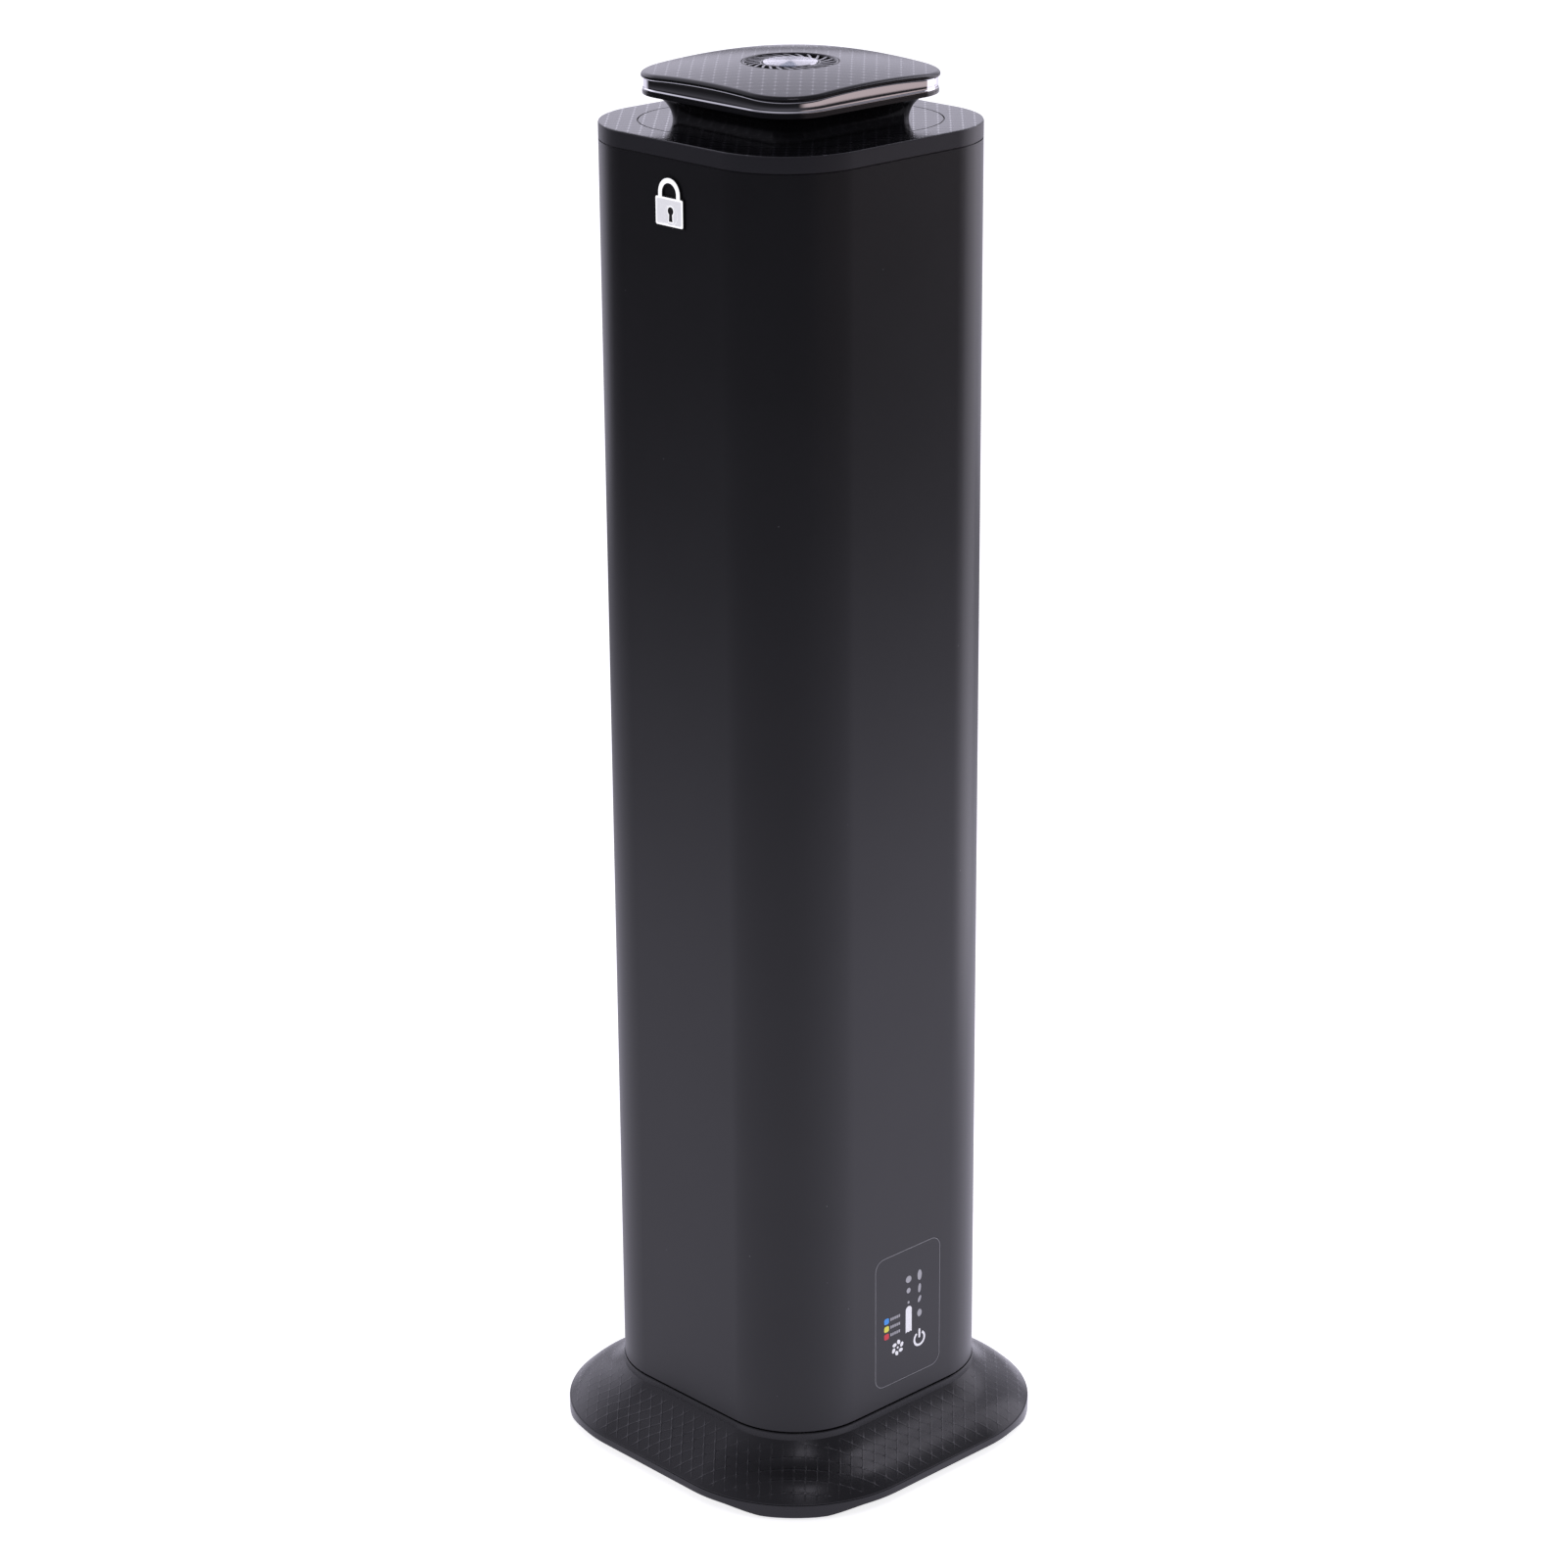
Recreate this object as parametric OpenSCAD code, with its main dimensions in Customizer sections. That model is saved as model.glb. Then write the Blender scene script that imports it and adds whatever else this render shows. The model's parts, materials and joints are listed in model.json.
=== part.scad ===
// Tower air purifier: a square column on a flared base, with a lift-off mushroom head
// that carries the filter cartridge out of the column. Millimetres, +Z up.
// The origin is on the floor, on the column's axis. The control panel faces -Y, the lock faces -X.

/* [Column] */
// Width of the column across its flats
column_side = 200; // [190:1:240]
// Radius of the column's four upright corners
corner_radius = 56; // [46:1:60]
// Height of the column shell alone
shell_height = 831.5; // [690:0.5:1000]
// Wall of the column shell
shell_wall = 2.5; // [1.5:0.1:3]

/* [Base] */
// Height of the base, from the floor to the column's lower edge
base_height = 44; // [42:0.5:52]
// How far the base reaches out past the column all round
base_overhang = 38.6; // [30:0.2:46]
// Height of the upright rim round the foot of the base
rim_height = 11; // [10:0.5:13]
// Height of the air gap under the middle of each side
intake_gap = 6; // [4:0.5:7]
// Wall of the base cover
skirt_wall = 3; // [2:0.1:4]
// How far the base's spigot reaches up into the column
spigot_height = 8; // [6:0.5:12]
// Thickness of the rubber foot pads
pad_thickness = 2; // [1.5:0.1:3]
// Radius of the rubber foot pads
pad_radius = 12; // [8:0.5:14]

/* [Cap and lid] */
// Height of the cap's rim
cap_rim = 11; // [9:0.5:14]
// Width of the fixed cap frame between the column's side and the lid
cap_frame = 19; // [16:0.5:24]
// Corner radius of the lid
lid_radius = 50; // [40:1:54]
// Thickness of the lid's plate
lid_plate_t = 3; // [2:0.1:4]
// Width of the ledge that the lid sits on
ledge = 3.5; // [2.5:0.1:5]

/* [Head] */
// Half width of the head across its flats
head_half = 73.6; // [65:0.2:80]
// Corner radius of the head
head_radius = 31.6; // [26:0.2:34]
// How much the neck narrows from the head to the lid
neck_inset = 18.4; // [12:0.2:20]
// Height of the flared neck
neck_height = 16.8; // [12:0.2:24]
// Height of the dome's middle above the lid
head_height = 36; // [32:0.5:44]
// Radius of the dome's curved top
dome_radius = 660; // [500:10:1200]
// Thickness of the dome plate
dome_t = 2.8; // [2:0.1:4]
// Outer radius of the outlet grille
grille_radius = 29.7; // [26:0.1:34]
// Number of slots in the outlet grille
slot_count = 24; // [12:1:30]
// Radius of the spun metal disc in the middle of the grille
disc_radius = 17; // [12:0.5:18]

/* [Filter] */
// Length of the filter cartridge between its end faces
filter_length = 400; // [300:5:480]
// Room between the cartridge and the lid's opening, each side
filter_margin = 14.5; // [13:0.5:20]
// Number of pleats in the filter paper
pleats = 60; // [30:1:80]
// Inner radius of the cartridge's air passage
core_radius = 33; // [28:0.5:35]
// Angle that frees the cartridge from the lid
filter_turn = 45; // [40:1:50]

/* [Fan] */
// Depth of the electronics bay between the fan housing and the shell
bay_depth = 21.5; // [20:0.5:26]
// Height of the fan housing
housing_height = 113; // [110:1:130]
// Radius of the motor's can
motor_radius = 32; // [28:0.5:34]
// Height of the motor's can
motor_height = 42; // [40:1:50]
// Radius of the motor shaft
shaft_radius = 3; // [2.5:0.1:4]
// Number of blades on the impeller
blade_count = 9; // [7:1:13]
// Height of the impeller's blades
blade_height = 30; // [24:1:32]

/* [Lock] */
// Depth of the lock's middle below the top of the cap
lock_drop = 44.5; // [44:0.5:60]
// Sideways place of the lock on its face
lock_y = -1.5; // [-10:0.5:10]
// Radius of the lock's barrel
barrel_radius = 8; // [7:0.1:9]
// Radius of the plug that the key turns
plug_radius = 5.5; // [4.5:0.1:6]
// Reach of the cam from the lock's axis
cam_reach = 20; // [18:0.5:22]
// Width of the padlock badge's body
badge_width = 25.4; // [22:0.2:30]
// Height of the padlock badge's body
badge_height = 19.6; // [18:0.2:24]

/* [Control panel] */
// Width of the touch panel
panel_width = 60.4; // [50:0.2:64]
// Height of the touch panel
panel_height = 94.4; // [80:0.2:96]
// Height of the panel's lower edge above the column's lower edge
panel_rise = 14; // [12:0.5:20]
// Sideways place of the panel on its face
panel_x = 5; // [-6:0.5:6]

/* [Fits] */
// Gap between pieces that slide past each other by hand
slide_gap = 0.5; // [0.4:0.05:0.8]
// Gap between fixed pieces that slip into each other
slip_gap = 0.3; // [0.2:0.05:0.5]
// Radial running clearance of shafts
run_gap = 0.05; // [0.02:0.01:0.1]

/* [Hidden] */
$fn = 96;

// A small overlap that lets a cut run clear through a face.
over = 1;

// Plan of the column: corner centres, and radii from them to the shell's faces.
column_half = column_side / 2;
column_c = column_half - corner_radius;
shell_in = corner_radius - shell_wall;
spigot_r = shell_in - slip_gap;
spigot_wall = 2.7;
inside_half = column_c + shell_in;

// Heights up the column.
deck_z = base_height + spigot_height;
deck_t = 3;
housing_z = deck_z + deck_t;
housing_top = housing_z + housing_height;
partition_t = 3;
cap_z = base_height + shell_height;
top_z = cap_z + cap_rim;

// Base.
rim_r = corner_radius + base_overhang;
skirt_lift = 1.5;
collar_reveal = 0.6;
collar_height = 6;
shadow_gap = 1.2;
flare_steps = 14;
flare_swell = 0.055;
plate_z = 7.5;
plate_t = 2.5;
plate_r = rim_r - skirt_wall - 3.4;
pad_place = column_c + (plate_r - pad_radius - 2.8) / sqrt(2);
tie_place = column_c + (shell_in - 11.8) / sqrt(2);
tie_r = 2;
boss_r = 5;
screen_r = 68;

// Lid, its ledge and the throat below it.
lid_half = column_half - cap_frame;
lid_c = lid_half - lid_radius;
lid_seam = 0.4;
gasket_t = 1;
ledge_t = 3;
ledge_top = top_z - lid_plate_t - gasket_t;
throat_r = lid_radius + lid_seam - ledge;
throat_half = lid_c + throat_r;
lid_skirt_r = throat_r - slide_gap;
lid_skirt_wall = 2.4;
lid_skirt_depth = 15.5;
lid_under = top_z - lid_plate_t;

// Head.
head_c = head_half - head_radius;
neck_r = head_radius - neck_inset - 0.2;
neck_wall = 2.5;
neck_lip = 1.6;
neck_top = top_z + neck_height;
tray_z = neck_top + neck_lip;
tray_t = 1.3;
band_z = tray_z + tray_t;
band_inset = 1;
band_wall = 2.2;
head_top = top_z + head_height;
dome_z = head_top - dome_radius;
duct_wall = 2;
duct_r = core_radius + 1;

// Filter cartridge.
filter_r = throat_half - filter_margin;
filter_top = lid_under - 33.5;
filter_bottom = filter_top - filter_length;
end_cap_t = 3;
end_cap_rim = 12;
cage_wall = 1;
filter_neck_r = core_radius + 5;
filter_neck_wall = 3;
filter_neck_top = lid_under - 5.5;
lug_r = filter_neck_r + 4;
lug_z = lid_under - 13;
lug_t = 3.5;
lug_angle = 30;
tab_angle = 34;
tab_t = 4;
bayonet_r = lug_r + slide_gap + 0.3;
bayonet_wall = 5;
bayonet_flange = 8;
guide_clear = 1.6;

// Fan and motor.
housing_r = inside_half - bay_depth;
housing_wall = 2.5;
flange_r = housing_r + 10;
impeller_r = housing_r - 10;
eye_r = 46;
bell_r = eye_r - 2;
impeller_z = housing_z + 11;
shroud_t = 2;
back_z = impeller_z + shroud_t + blade_height;
back_t = 3;
motor_z = back_z + back_t + 7;
motor_wall = 2.5;
motor_top = motor_z + motor_height;
bearing_r = 8;
bearing_h = 5;
grommet_t = 2;
bracket_z = motor_top + grommet_t;
bracket_t = 3;
mount_place = 24;
screw_r = 1.5;
screw_head_r = 3;
screw_head_t = 2;
arm_angles = [45, 135, 225, 315];
lead_r = 2;

// Lock.
lock_z = top_z - lock_drop;
badge_t = 1.2;
shackle_r = 8.8;
shackle_wall = 3.2;
shackle_rise = 4.6;
keeper_x = -(throat_half - slide_gap - lid_skirt_wall);
keeper_t = 2.4;
cam_t = 2;
cam_half = 6;
cam_x = keeper_x - slide_gap - 0.1;
barrel_in = cam_x - cam_t - 0.3;
nut_r = 12;
nut_t = 4;
keeper_y0 = lock_y + cam_half + 3.5;
keeper_width = 16;
keeper_foot = 5;
keeper_play = 1;

// Control panel and electronics.
panel_t = 0.8;
panel_gap = 0.25;
panel_corner = 8;
panel_z = base_height + panel_rise + panel_height / 2;
window_margin = 5;
board_t = 1.6;
control_y = -(inside_half - 3);
control_w = panel_width - 6;
control_h = panel_height - 8;
power_y = inside_half - 4;
power_w = 70;
power_h = 72;
power_z = housing_z + 65;
lead_z = power_z + 26.5;
terminal_depth = 8;
panel_lead_z = housing_top - 22;
panel_lead_end = 8;
inlet_z = housing_z + 13;
inlet_w = 22;
inlet_h = 14;
inlet_depth = 18;
standoff_r = 3;
led_r = 1.5;

// ---- Shapes used by several pieces ----

// Square with rounded corners: c is the distance of the corner centres, r the corner radius.
module outline(c, r) {
    square([2 * (c + r), 2 * c], center = true);
    square([2 * c, 2 * (c + r)], center = true);
    for (x = [-c, c], y = [-c, c])
        translate([x, y]) circle(r);
}

module slab(c, r, z0, z1) {
    translate([0, 0, z0]) linear_extrude(z1 - z0) outline(c, r);
}

// Carries a wall section round a rounded square. The section's x is measured outwards
// from the corner centres, and its y is the height.
module swept(c, section) {
    for (k = [0:3])
        rotate([0, 0, 90 * k]) translate([c, c, 0]) {
            rotate_extrude(angle = 90) polygon(section);
            rotate([90, 0, 0]) linear_extrude(2 * c) polygon(section);
        }
}

module tube(r_out, r_in, z0, z1) {
    translate([0, 0, z0]) difference() {
        cylinder(r = r_out, h = z1 - z0);
        translate([0, 0, -over]) cylinder(r = r_in, h = z1 - z0 + 2 * over);
    }
}

module rod(r, z0, z1) {
    translate([0, 0, z0]) cylinder(r = r, h = z1 - z0);
}

// Copies its child to the four quadrants at distance a along both axes.
module corners(a) {
    for (k = [0:3]) rotate([0, 0, 90 * k]) translate([a, a, 0]) children();
}

// Pan-head screw pointing up, with its head below z.
module screw_up(z, length) {
    rod(screw_head_r, z - screw_head_t, z);
    rod(screw_r, z, z + length);
}

// Pan-head screw pointing down, with its head above z.
module screw_down(z, length) {
    rod(screw_head_r, z, z + screw_head_t);
    rod(screw_r, z - length, z);
}

// Plate with rounded corners, standing upright and facing -Y: y0 is its outer face.
module upright_plate(w, h, r, y0, t) {
    translate([0, y0 + t, 0]) rotate([90, 0, 0]) linear_extrude(t) {
        square([w - 2 * r, h], center = true);
        square([w, h - 2 * r], center = true);
        for (x = [-1, 1], z = [-1, 1])
            translate([x * (w / 2 - r), z * (h / 2 - r)]) circle(r);
    }
}

// Ring sector centred on angle a.
module sector(r_out, r_in, a, width, z0, z1) {
    rotate([0, 0, a - width / 2]) rotate_extrude(angle = width)
        translate([r_in, z0]) square([r_out - r_in, z1 - z0]);
}

// ---- Base ----

// Flare of the base cover, from the rim (t = 0) to the collar (t = 1).
function flare(t, dr = 0, dz = 0) = [
    rim_r - 0.8 + (corner_radius + collar_reveal - rim_r + 0.8) * t + dr,
    rim_height + 0.4 + (base_height - collar_height - rim_height - 0.4)
        * (t + flare_swell * sin(360 * t)) + dz];

// Rise of the air gap at distance u from the middle of a side.
gap_flat = column_c + 22;
gap_end = column_c + 62;
gap_steps = 10;
gap_foot = skirt_lift - 0.4;
function ease(t) = t * t * (3 - 2 * t);
function gap_edge(s) = [for (i = [0:gap_steps])
    let (t = s > 0 ? i / gap_steps : 1 - i / gap_steps)
    [s * (gap_flat + (gap_end - gap_flat) * t), gap_foot + (intake_gap - gap_foot) * ease(1 - t)]];

module base_skirt() {
    section = concat(
        [[rim_r - 0.8, skirt_lift], [rim_r, skirt_lift + 0.8],
         [rim_r, rim_height - 0.6], [rim_r - 0.2, rim_height - 0.2],
         [rim_r - 0.7, rim_height - 0.1], [rim_r - 0.8, rim_height + 0.4]],
        [for (i = [1:flare_steps]) flare(i / flare_steps)],
        [[corner_radius + collar_reveal, base_height - shadow_gap - 0.5],
         [corner_radius + collar_reveal - 0.5, base_height - shadow_gap],
         [corner_radius - 1.1, base_height - shadow_gap],
         [corner_radius - 1.1, base_height], [spigot_r, base_height],
         [spigot_r, deck_z], [spigot_r - spigot_wall, deck_z],
         [spigot_r - spigot_wall, base_height - collar_height - skirt_wall]],
        [for (i = [flare_steps:-1:1]) flare(i / flare_steps, -skirt_wall, -skirt_wall)],
        [[rim_r - skirt_wall - 0.8, rim_height - skirt_wall], [rim_r - skirt_wall - 0.8, skirt_lift]]);
    color([0.16, 0.16, 0.18]) difference() {
        union() {
            swept(column_c, section);
            corners(tie_place) {
                rod(boss_r, plate_z + plate_t, deck_z);
                rotate([0, 0, 45]) translate([boss_r - 1, -1.5, base_height - 8])
                    cube([6, 3, deck_z - base_height + 7]);
            }
        }
        corners(tie_place) rod(tie_r + slip_gap, 0, deck_z + over);
        for (k = [0:3]) rotate([0, 0, 90 * k]) translate([0, column_half + base_overhang + over, 0])
            rotate([90, 0, 0]) linear_extrude(base_overhang + 2 * over)
                polygon(concat([[-gap_end, -over], [gap_end, -over]],
                    [for (i = [gap_steps:-1:0]) gap_edge(1)[i]],
                    [for (i = [gap_steps:-1:0]) gap_edge(-1)[i]]));
    }
}

module base_plate() {
    slot_pitch = 8;
    slot_w = 4.4;
    slots = floor((screen_r - 4) / slot_pitch);
    color([0.1, 0.1, 0.11]) difference() {
        union() {
            slab(column_c, plate_r, plate_z, plate_z + plate_t);
            corners(pad_place) rod(pad_radius + 2, pad_thickness, plate_z + over);
            tube(screen_r + 3, screen_r + slip_gap, plate_z + over, plate_z + plate_t + 2);
        }
        for (i = [-slots:slots])
            let (half = sqrt(pow(screen_r - 4, 2) - pow(i * slot_pitch, 2)))
            for (s = [-1, 1])
                translate([i * slot_pitch - slot_w / 2, s > 0 ? 2 : -half, plate_z - over])
                    cube([slot_w, half - 2, plate_t + 2 * over]);
        corners(tie_place) rod(tie_r + slip_gap, plate_z - over, plate_z + plate_t + over);
    }
}

module foot_pads() {
    color([0.08, 0.08, 0.08]) corners(pad_place) {
        rod(pad_radius - 0.6, 0, 0.6);
        rod(pad_radius, 0.6, pad_thickness);
    }
}

module base_screws() {
    color([0.6, 0.6, 0.62]) corners(tie_place) {
        rod(4, plate_z - 3, plate_z);
        rod(tie_r, plate_z, deck_z + deck_t);
    }
}

module intake_screen() {
    rib = 1.2;
    rings = 4;
    color([0.2, 0.2, 0.22]) translate([0, 0, plate_z + plate_t]) {
        for (i = [1:rings]) tube(screen_r * i / rings, screen_r * i / rings - 2.4, 0, rib);
        for (a = [0:30:150]) rotate([0, 0, a]) translate([-screen_r + 1, -0.8, 0])
            cube([2 * screen_r - 2, 1.6, rib]);
    }
}

module air_sensor() {
    color([0.75, 0.75, 0.72]) translate([-column_half + 4, 12, plate_z + plate_t]) difference() {
        cube([22, 30, 12]);
        translate([11, 8, 6]) cylinder(r = 3.5, h = 7);
        translate([11, 21, 6]) cylinder(r = 2.5, h = 7);
    }
}

// ---- Fan ----

module fan_deck() {
    color([0.62, 0.63, 0.65]) difference() {
        slab(column_c, spigot_r, deck_z, deck_z + deck_t);
        rod(bell_r + 6, deck_z - over, deck_z + deck_t + over);
        corners(tie_place) rod(tie_r + run_gap, deck_z - over, deck_z + deck_t + over);
        for (a = arm_angles) rotate([0, 0, a]) translate([flange_r - 5, 0, 0])
            rod(screw_r + run_gap, deck_z - over, deck_z + deck_t + over);
    }
}

module inlet_bell() {
    z = housing_z;
    color([0.2, 0.2, 0.22]) rotate_extrude() polygon([
        [bell_r + 16, z], [bell_r + 16, z + 2], [bell_r + 8, z + 2], [bell_r + 3.5, z + 4],
        [bell_r + 1, z + 7.5], [bell_r, z + 10], [bell_r, impeller_z + shroud_t],
        [bell_r - 2, impeller_z + shroud_t], [bell_r - 2, z + 9.5], [bell_r - 0.6, z + 6],
        [bell_r + 2, z + 2.4], [bell_r + 6, z]]);
}

module fan_housing() {
    color([0.2, 0.2, 0.22]) difference() {
        union() {
            tube(housing_r, housing_r - housing_wall, housing_z, housing_top + partition_t);
            tube(flange_r, housing_r - 1, housing_z, housing_z + 2.5);
            tube(housing_r + 3, housing_r - 1, housing_top - 3, housing_top);
        }
        for (a = arm_angles) rotate([0, 0, a]) {
            translate([flange_r - 5, 0, 0]) rod(screw_r + 0.2, housing_z - over, housing_z + 3 + over);
            translate([housing_r - 6, 0, bracket_z - 3]) rotate([0, 90, 0]) cylinder(r = screw_r + 0.2, h = 10);
        }
        translate([0, housing_r - 6, lead_z]) rotate([-90, 0, 0]) cylinder(r = lead_r + 0.5, h = 12);
    }
}

module motor_bracket() {
    arm_w = 10;
    reach = housing_r - housing_wall - slip_gap;
    color([0.7, 0.71, 0.73]) difference() {
        union() {
            rod(motor_radius, bracket_z, bracket_z + bracket_t);
            for (a = arm_angles) rotate([0, 0, a]) {
                translate([motor_radius - 2, -arm_w / 2, bracket_z])
                    cube([reach - motor_radius + 1, arm_w, bracket_t]);
                translate([reach - 4, -arm_w / 2, bracket_z - 7]) cube([3, arm_w, 8]);
            }
        }
        rod(12, bracket_z - over, bracket_z + bracket_t + over);
        for (a = arm_angles) rotate([0, 0, a]) {
            translate([mount_place, 0, 0]) rod(screw_r + 0.1, bracket_z - over, bracket_z + bracket_t + over);
            translate([reach - 6, 0, bracket_z - 3]) rotate([0, 90, 0]) cylinder(r = screw_r + run_gap, h = 10);
        }
    }
}

module motor_grommets() {
    color([0.12, 0.12, 0.12]) for (a = arm_angles) rotate([0, 0, a]) translate([mount_place, 0, 0])
        tube(4.5, screw_r + 0.1, motor_top, bracket_z);
}

module fan_screws() {
    reach = housing_r - housing_wall - slip_gap;
    color([0.7, 0.7, 0.72]) for (a = arm_angles) rotate([0, 0, a]) {
        translate([mount_place, 0, 0]) screw_down(bracket_z + bracket_t, bracket_t + grommet_t + 3);
        translate([flange_r - 5, 0, 0]) screw_down(housing_z + 2.5, 2.5 + deck_t);
        translate([housing_r, 0, bracket_z - 3]) rotate([0, 90, 0]) {
            cylinder(r = screw_head_r, h = screw_head_t);
            translate([0, 0, reach - 4 - housing_r]) cylinder(r = screw_r, h = housing_r - reach + 4);
        }
    }
}

module motor_can() {
    color([0.75, 0.76, 0.78]) difference() {
        rod(motor_radius, motor_z, motor_top);
        rod(motor_radius - motor_wall, motor_z + 3 + bearing_h, motor_top + over);
        tube(motor_radius - motor_wall, bearing_r + 2.5, motor_z + 3, motor_z + 4 + bearing_h);
        rod(bearing_r, motor_z + 3, motor_z + 4 + bearing_h);
        rod(shaft_radius + 0.8, motor_z - over, motor_z + 4);
    }
}

module motor_endcap() {
    color([0.7, 0.71, 0.73]) difference() {
        union() {
            rod(motor_radius - motor_wall - run_gap, motor_top - 3, motor_top);
            rod(bearing_r + 2.5, motor_top - 3 - bearing_h, motor_top - 2);
        }
        rod(bearing_r, motor_top - 4 - bearing_h, motor_top - 3);
        rod(shaft_radius + 0.8, motor_top - 4, motor_top + over);
        for (a = arm_angles) rotate([0, 0, a]) translate([mount_place, 0, 0])
            rod(screw_r + run_gap, motor_top - 4, motor_top + over);
    }
}

core_r = 18.5;
stack_z0 = motor_z + 11;
stack_z1 = motor_top - 12;

module stator() {
    teeth = 12;
    color([0.55, 0.35, 0.2]) difference() {
        tube(motor_radius - motor_wall - run_gap, core_r + 0.7, stack_z0, stack_z1);
        for (k = [0:teeth - 1]) rotate([0, 0, 360 / teeth * k]) translate([core_r + 2.2, -1.2, stack_z0 - over])
            cube([motor_radius - motor_wall - core_r - 5, 2.4, stack_z1 - stack_z0 + 2 * over]);
    }
}

module motor_core() {
    color([0.35, 0.35, 0.38]) tube(core_r, shaft_radius, stack_z0, stack_z1);
}

module motor_bearings() {
    color([0.8, 0.8, 0.82]) {
        tube(bearing_r - run_gap, shaft_radius + run_gap, motor_z + 3, motor_z + 3 + bearing_h);
        tube(bearing_r - run_gap, shaft_radius + run_gap, motor_top - 3 - bearing_h, motor_top - 3);
    }
}

module motor_shaft() {
    color([0.8, 0.8, 0.82]) rod(shaft_radius, back_z - 14, motor_top - 1);
}

// One backward-curved blade in plan: a thin arc from the eye to the impeller's edge.
module blade_plan() {
    chord = impeller_r - eye_r - 2;
    arc = chord * 1.1;
    thick = 1.6;
    intersection() {
        translate([eye_r + 1 + chord / 2, -arc + chord * 0.12]) difference() {
            circle(arc);
            circle(arc - thick);
        }
        translate([eye_r + 1, -chord * 0.6]) square([chord, chord * 1.3]);
    }
}

module impeller() {
    color([0.3, 0.3, 0.33]) {
        tube(impeller_r, eye_r, impeller_z, impeller_z + shroud_t);
        for (k = [0:blade_count - 1]) rotate([0, 0, 360 / blade_count * k])
            translate([0, 0, impeller_z + shroud_t - 0.2]) linear_extrude(blade_height + 0.4) blade_plan();
        tube(impeller_r, shaft_radius, back_z, back_z + back_t);
        tube(11, shaft_radius, back_z - 12, back_z + 0.5);
    }
}

module partition() {
    color([0.16, 0.16, 0.17]) difference() {
        slab(column_c, spigot_r, housing_top, housing_top + partition_t);
        rod(housing_r + slip_gap, housing_top - over, housing_top + partition_t + over);
    }
}

// ---- Column ----

module column_shell() {
    color([0.17, 0.17, 0.19]) difference() {
        swept(column_c, [[shell_in, base_height], [corner_radius, base_height],
            [corner_radius, cap_z], [shell_in, cap_z]]);
        translate([panel_x, 0, panel_z]) {
            upright_plate(panel_width + 2 * panel_gap, panel_height + 2 * panel_gap,
                panel_corner + panel_gap, -column_half - over, panel_t + over);
            upright_plate(panel_width - 2 * window_margin, panel_height - 2 * window_margin,
                panel_corner - window_margin + 1, -column_half, shell_wall + over);
        }
        translate([-column_half - over, lock_y, lock_z]) rotate([0, 90, 0])
            cylinder(r = barrel_radius + 0.1, h = shell_wall + 2 * over);
        translate([-inlet_w / 2 - slip_gap, inside_half - over, inlet_z - inlet_h / 2 - slip_gap])
            cube([inlet_w + 2 * slip_gap, shell_wall + 2 * over, inlet_h + 2 * slip_gap]);
    }
}

module silencer_foam() {
    foam_t = 12;
    color([0.22, 0.22, 0.22]) swept(column_c, [
        [spigot_r - foam_t, housing_top + 20], [spigot_r, housing_top + 20],
        [spigot_r, filter_bottom - 40], [spigot_r - foam_t, filter_bottom - 40]]);
}

module filter_guide() {
    z = filter_bottom - 14;
    cup_r = filter_r + 1 + guide_clear;
    arm_w = 12;
    color([0.2, 0.2, 0.22]) {
        swept(column_c, [[spigot_r - 3, z], [spigot_r, z], [spigot_r, z + 12], [spigot_r - 3, z + 12]]);
        tube(cup_r + 2, cup_r, z, z + 26);
        for (k = [0:3]) rotate([0, 0, 90 * k]) translate([cup_r + 1, -arm_w / 2, z])
            cube([column_c + spigot_r - cup_r - 2, arm_w, 3]);
    }
}

// ---- Electronics ----

module power_board() {
    color([0.1, 0.35, 0.2]) translate([-power_w / 2, power_y - board_t, power_z - power_h / 2])
        cube([power_w, board_t, power_h]);
}

// Parts on the power board: transformer, coil, relay, two capacitors and a terminal block.
module board_components() {
    face = power_y - board_t;
    color([0.15, 0.15, 0.16]) {
        translate([-30, face - 12, power_z - 30]) cube([22, 12, 18]);
        translate([-2, face - 10, power_z - 30]) cube([14, 10, 14]);
        translate([18, face - 11, power_z - 28]) cube([12, 11, 10]);
        translate([-22, face, power_z + 8]) rotate([90, 0, 0]) cylinder(r = 7, h = 11);
        translate([22, face, power_z + 8]) rotate([90, 0, 0]) cylinder(r = 6, h = 10);
        translate([-6, face - terminal_depth, power_z + 22]) cube([12, terminal_depth, 9]);
    }
}

module board_standoffs() {
    color([0.75, 0.7, 0.5]) {
        for (x = [-1, 1], z = [-1, 1]) {
            translate([x * (power_w / 2 - 5), power_y, power_z + z * (power_h / 2 - 5)])
                rotate([-90, 0, 0]) cylinder(r = standoff_r, h = inside_half - power_y);
            translate([panel_x + x * (control_w / 2 - 1.8), control_y, panel_z + z * (control_h / 2 - 1.8)])
                rotate([90, 0, 0]) cylinder(r = 1.6, h = inside_half + control_y);
        }
    }
}

module control_board() {
    color([0.1, 0.3, 0.2]) translate([panel_x - control_w / 2, control_y, panel_z - control_h / 2])
        cube([control_w, board_t, control_h]);
}

// Three quality lights in a column and a row of level lights beside them.
module status_leds() {
    pitch = 5.5;
    color([0.9, 0.9, 0.95]) for (i = [0:2]) {
        translate([panel_x - 19.8, control_y, panel_z - 10.5 + i * pitch]) rotate([90, 0, 0])
            cylinder(r = led_r, h = 2.5);
        translate([panel_x + 0.8, control_y, panel_z - 11 + i * 7]) rotate([90, 0, 0])
            cylinder(r = led_r, h = 2.5);
    }
}

module control_overlay() {
    color([0.24, 0.24, 0.27]) translate([panel_x, 0, panel_z])
        upright_plate(panel_width, panel_height, panel_corner, -column_half, panel_t);
}

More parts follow.
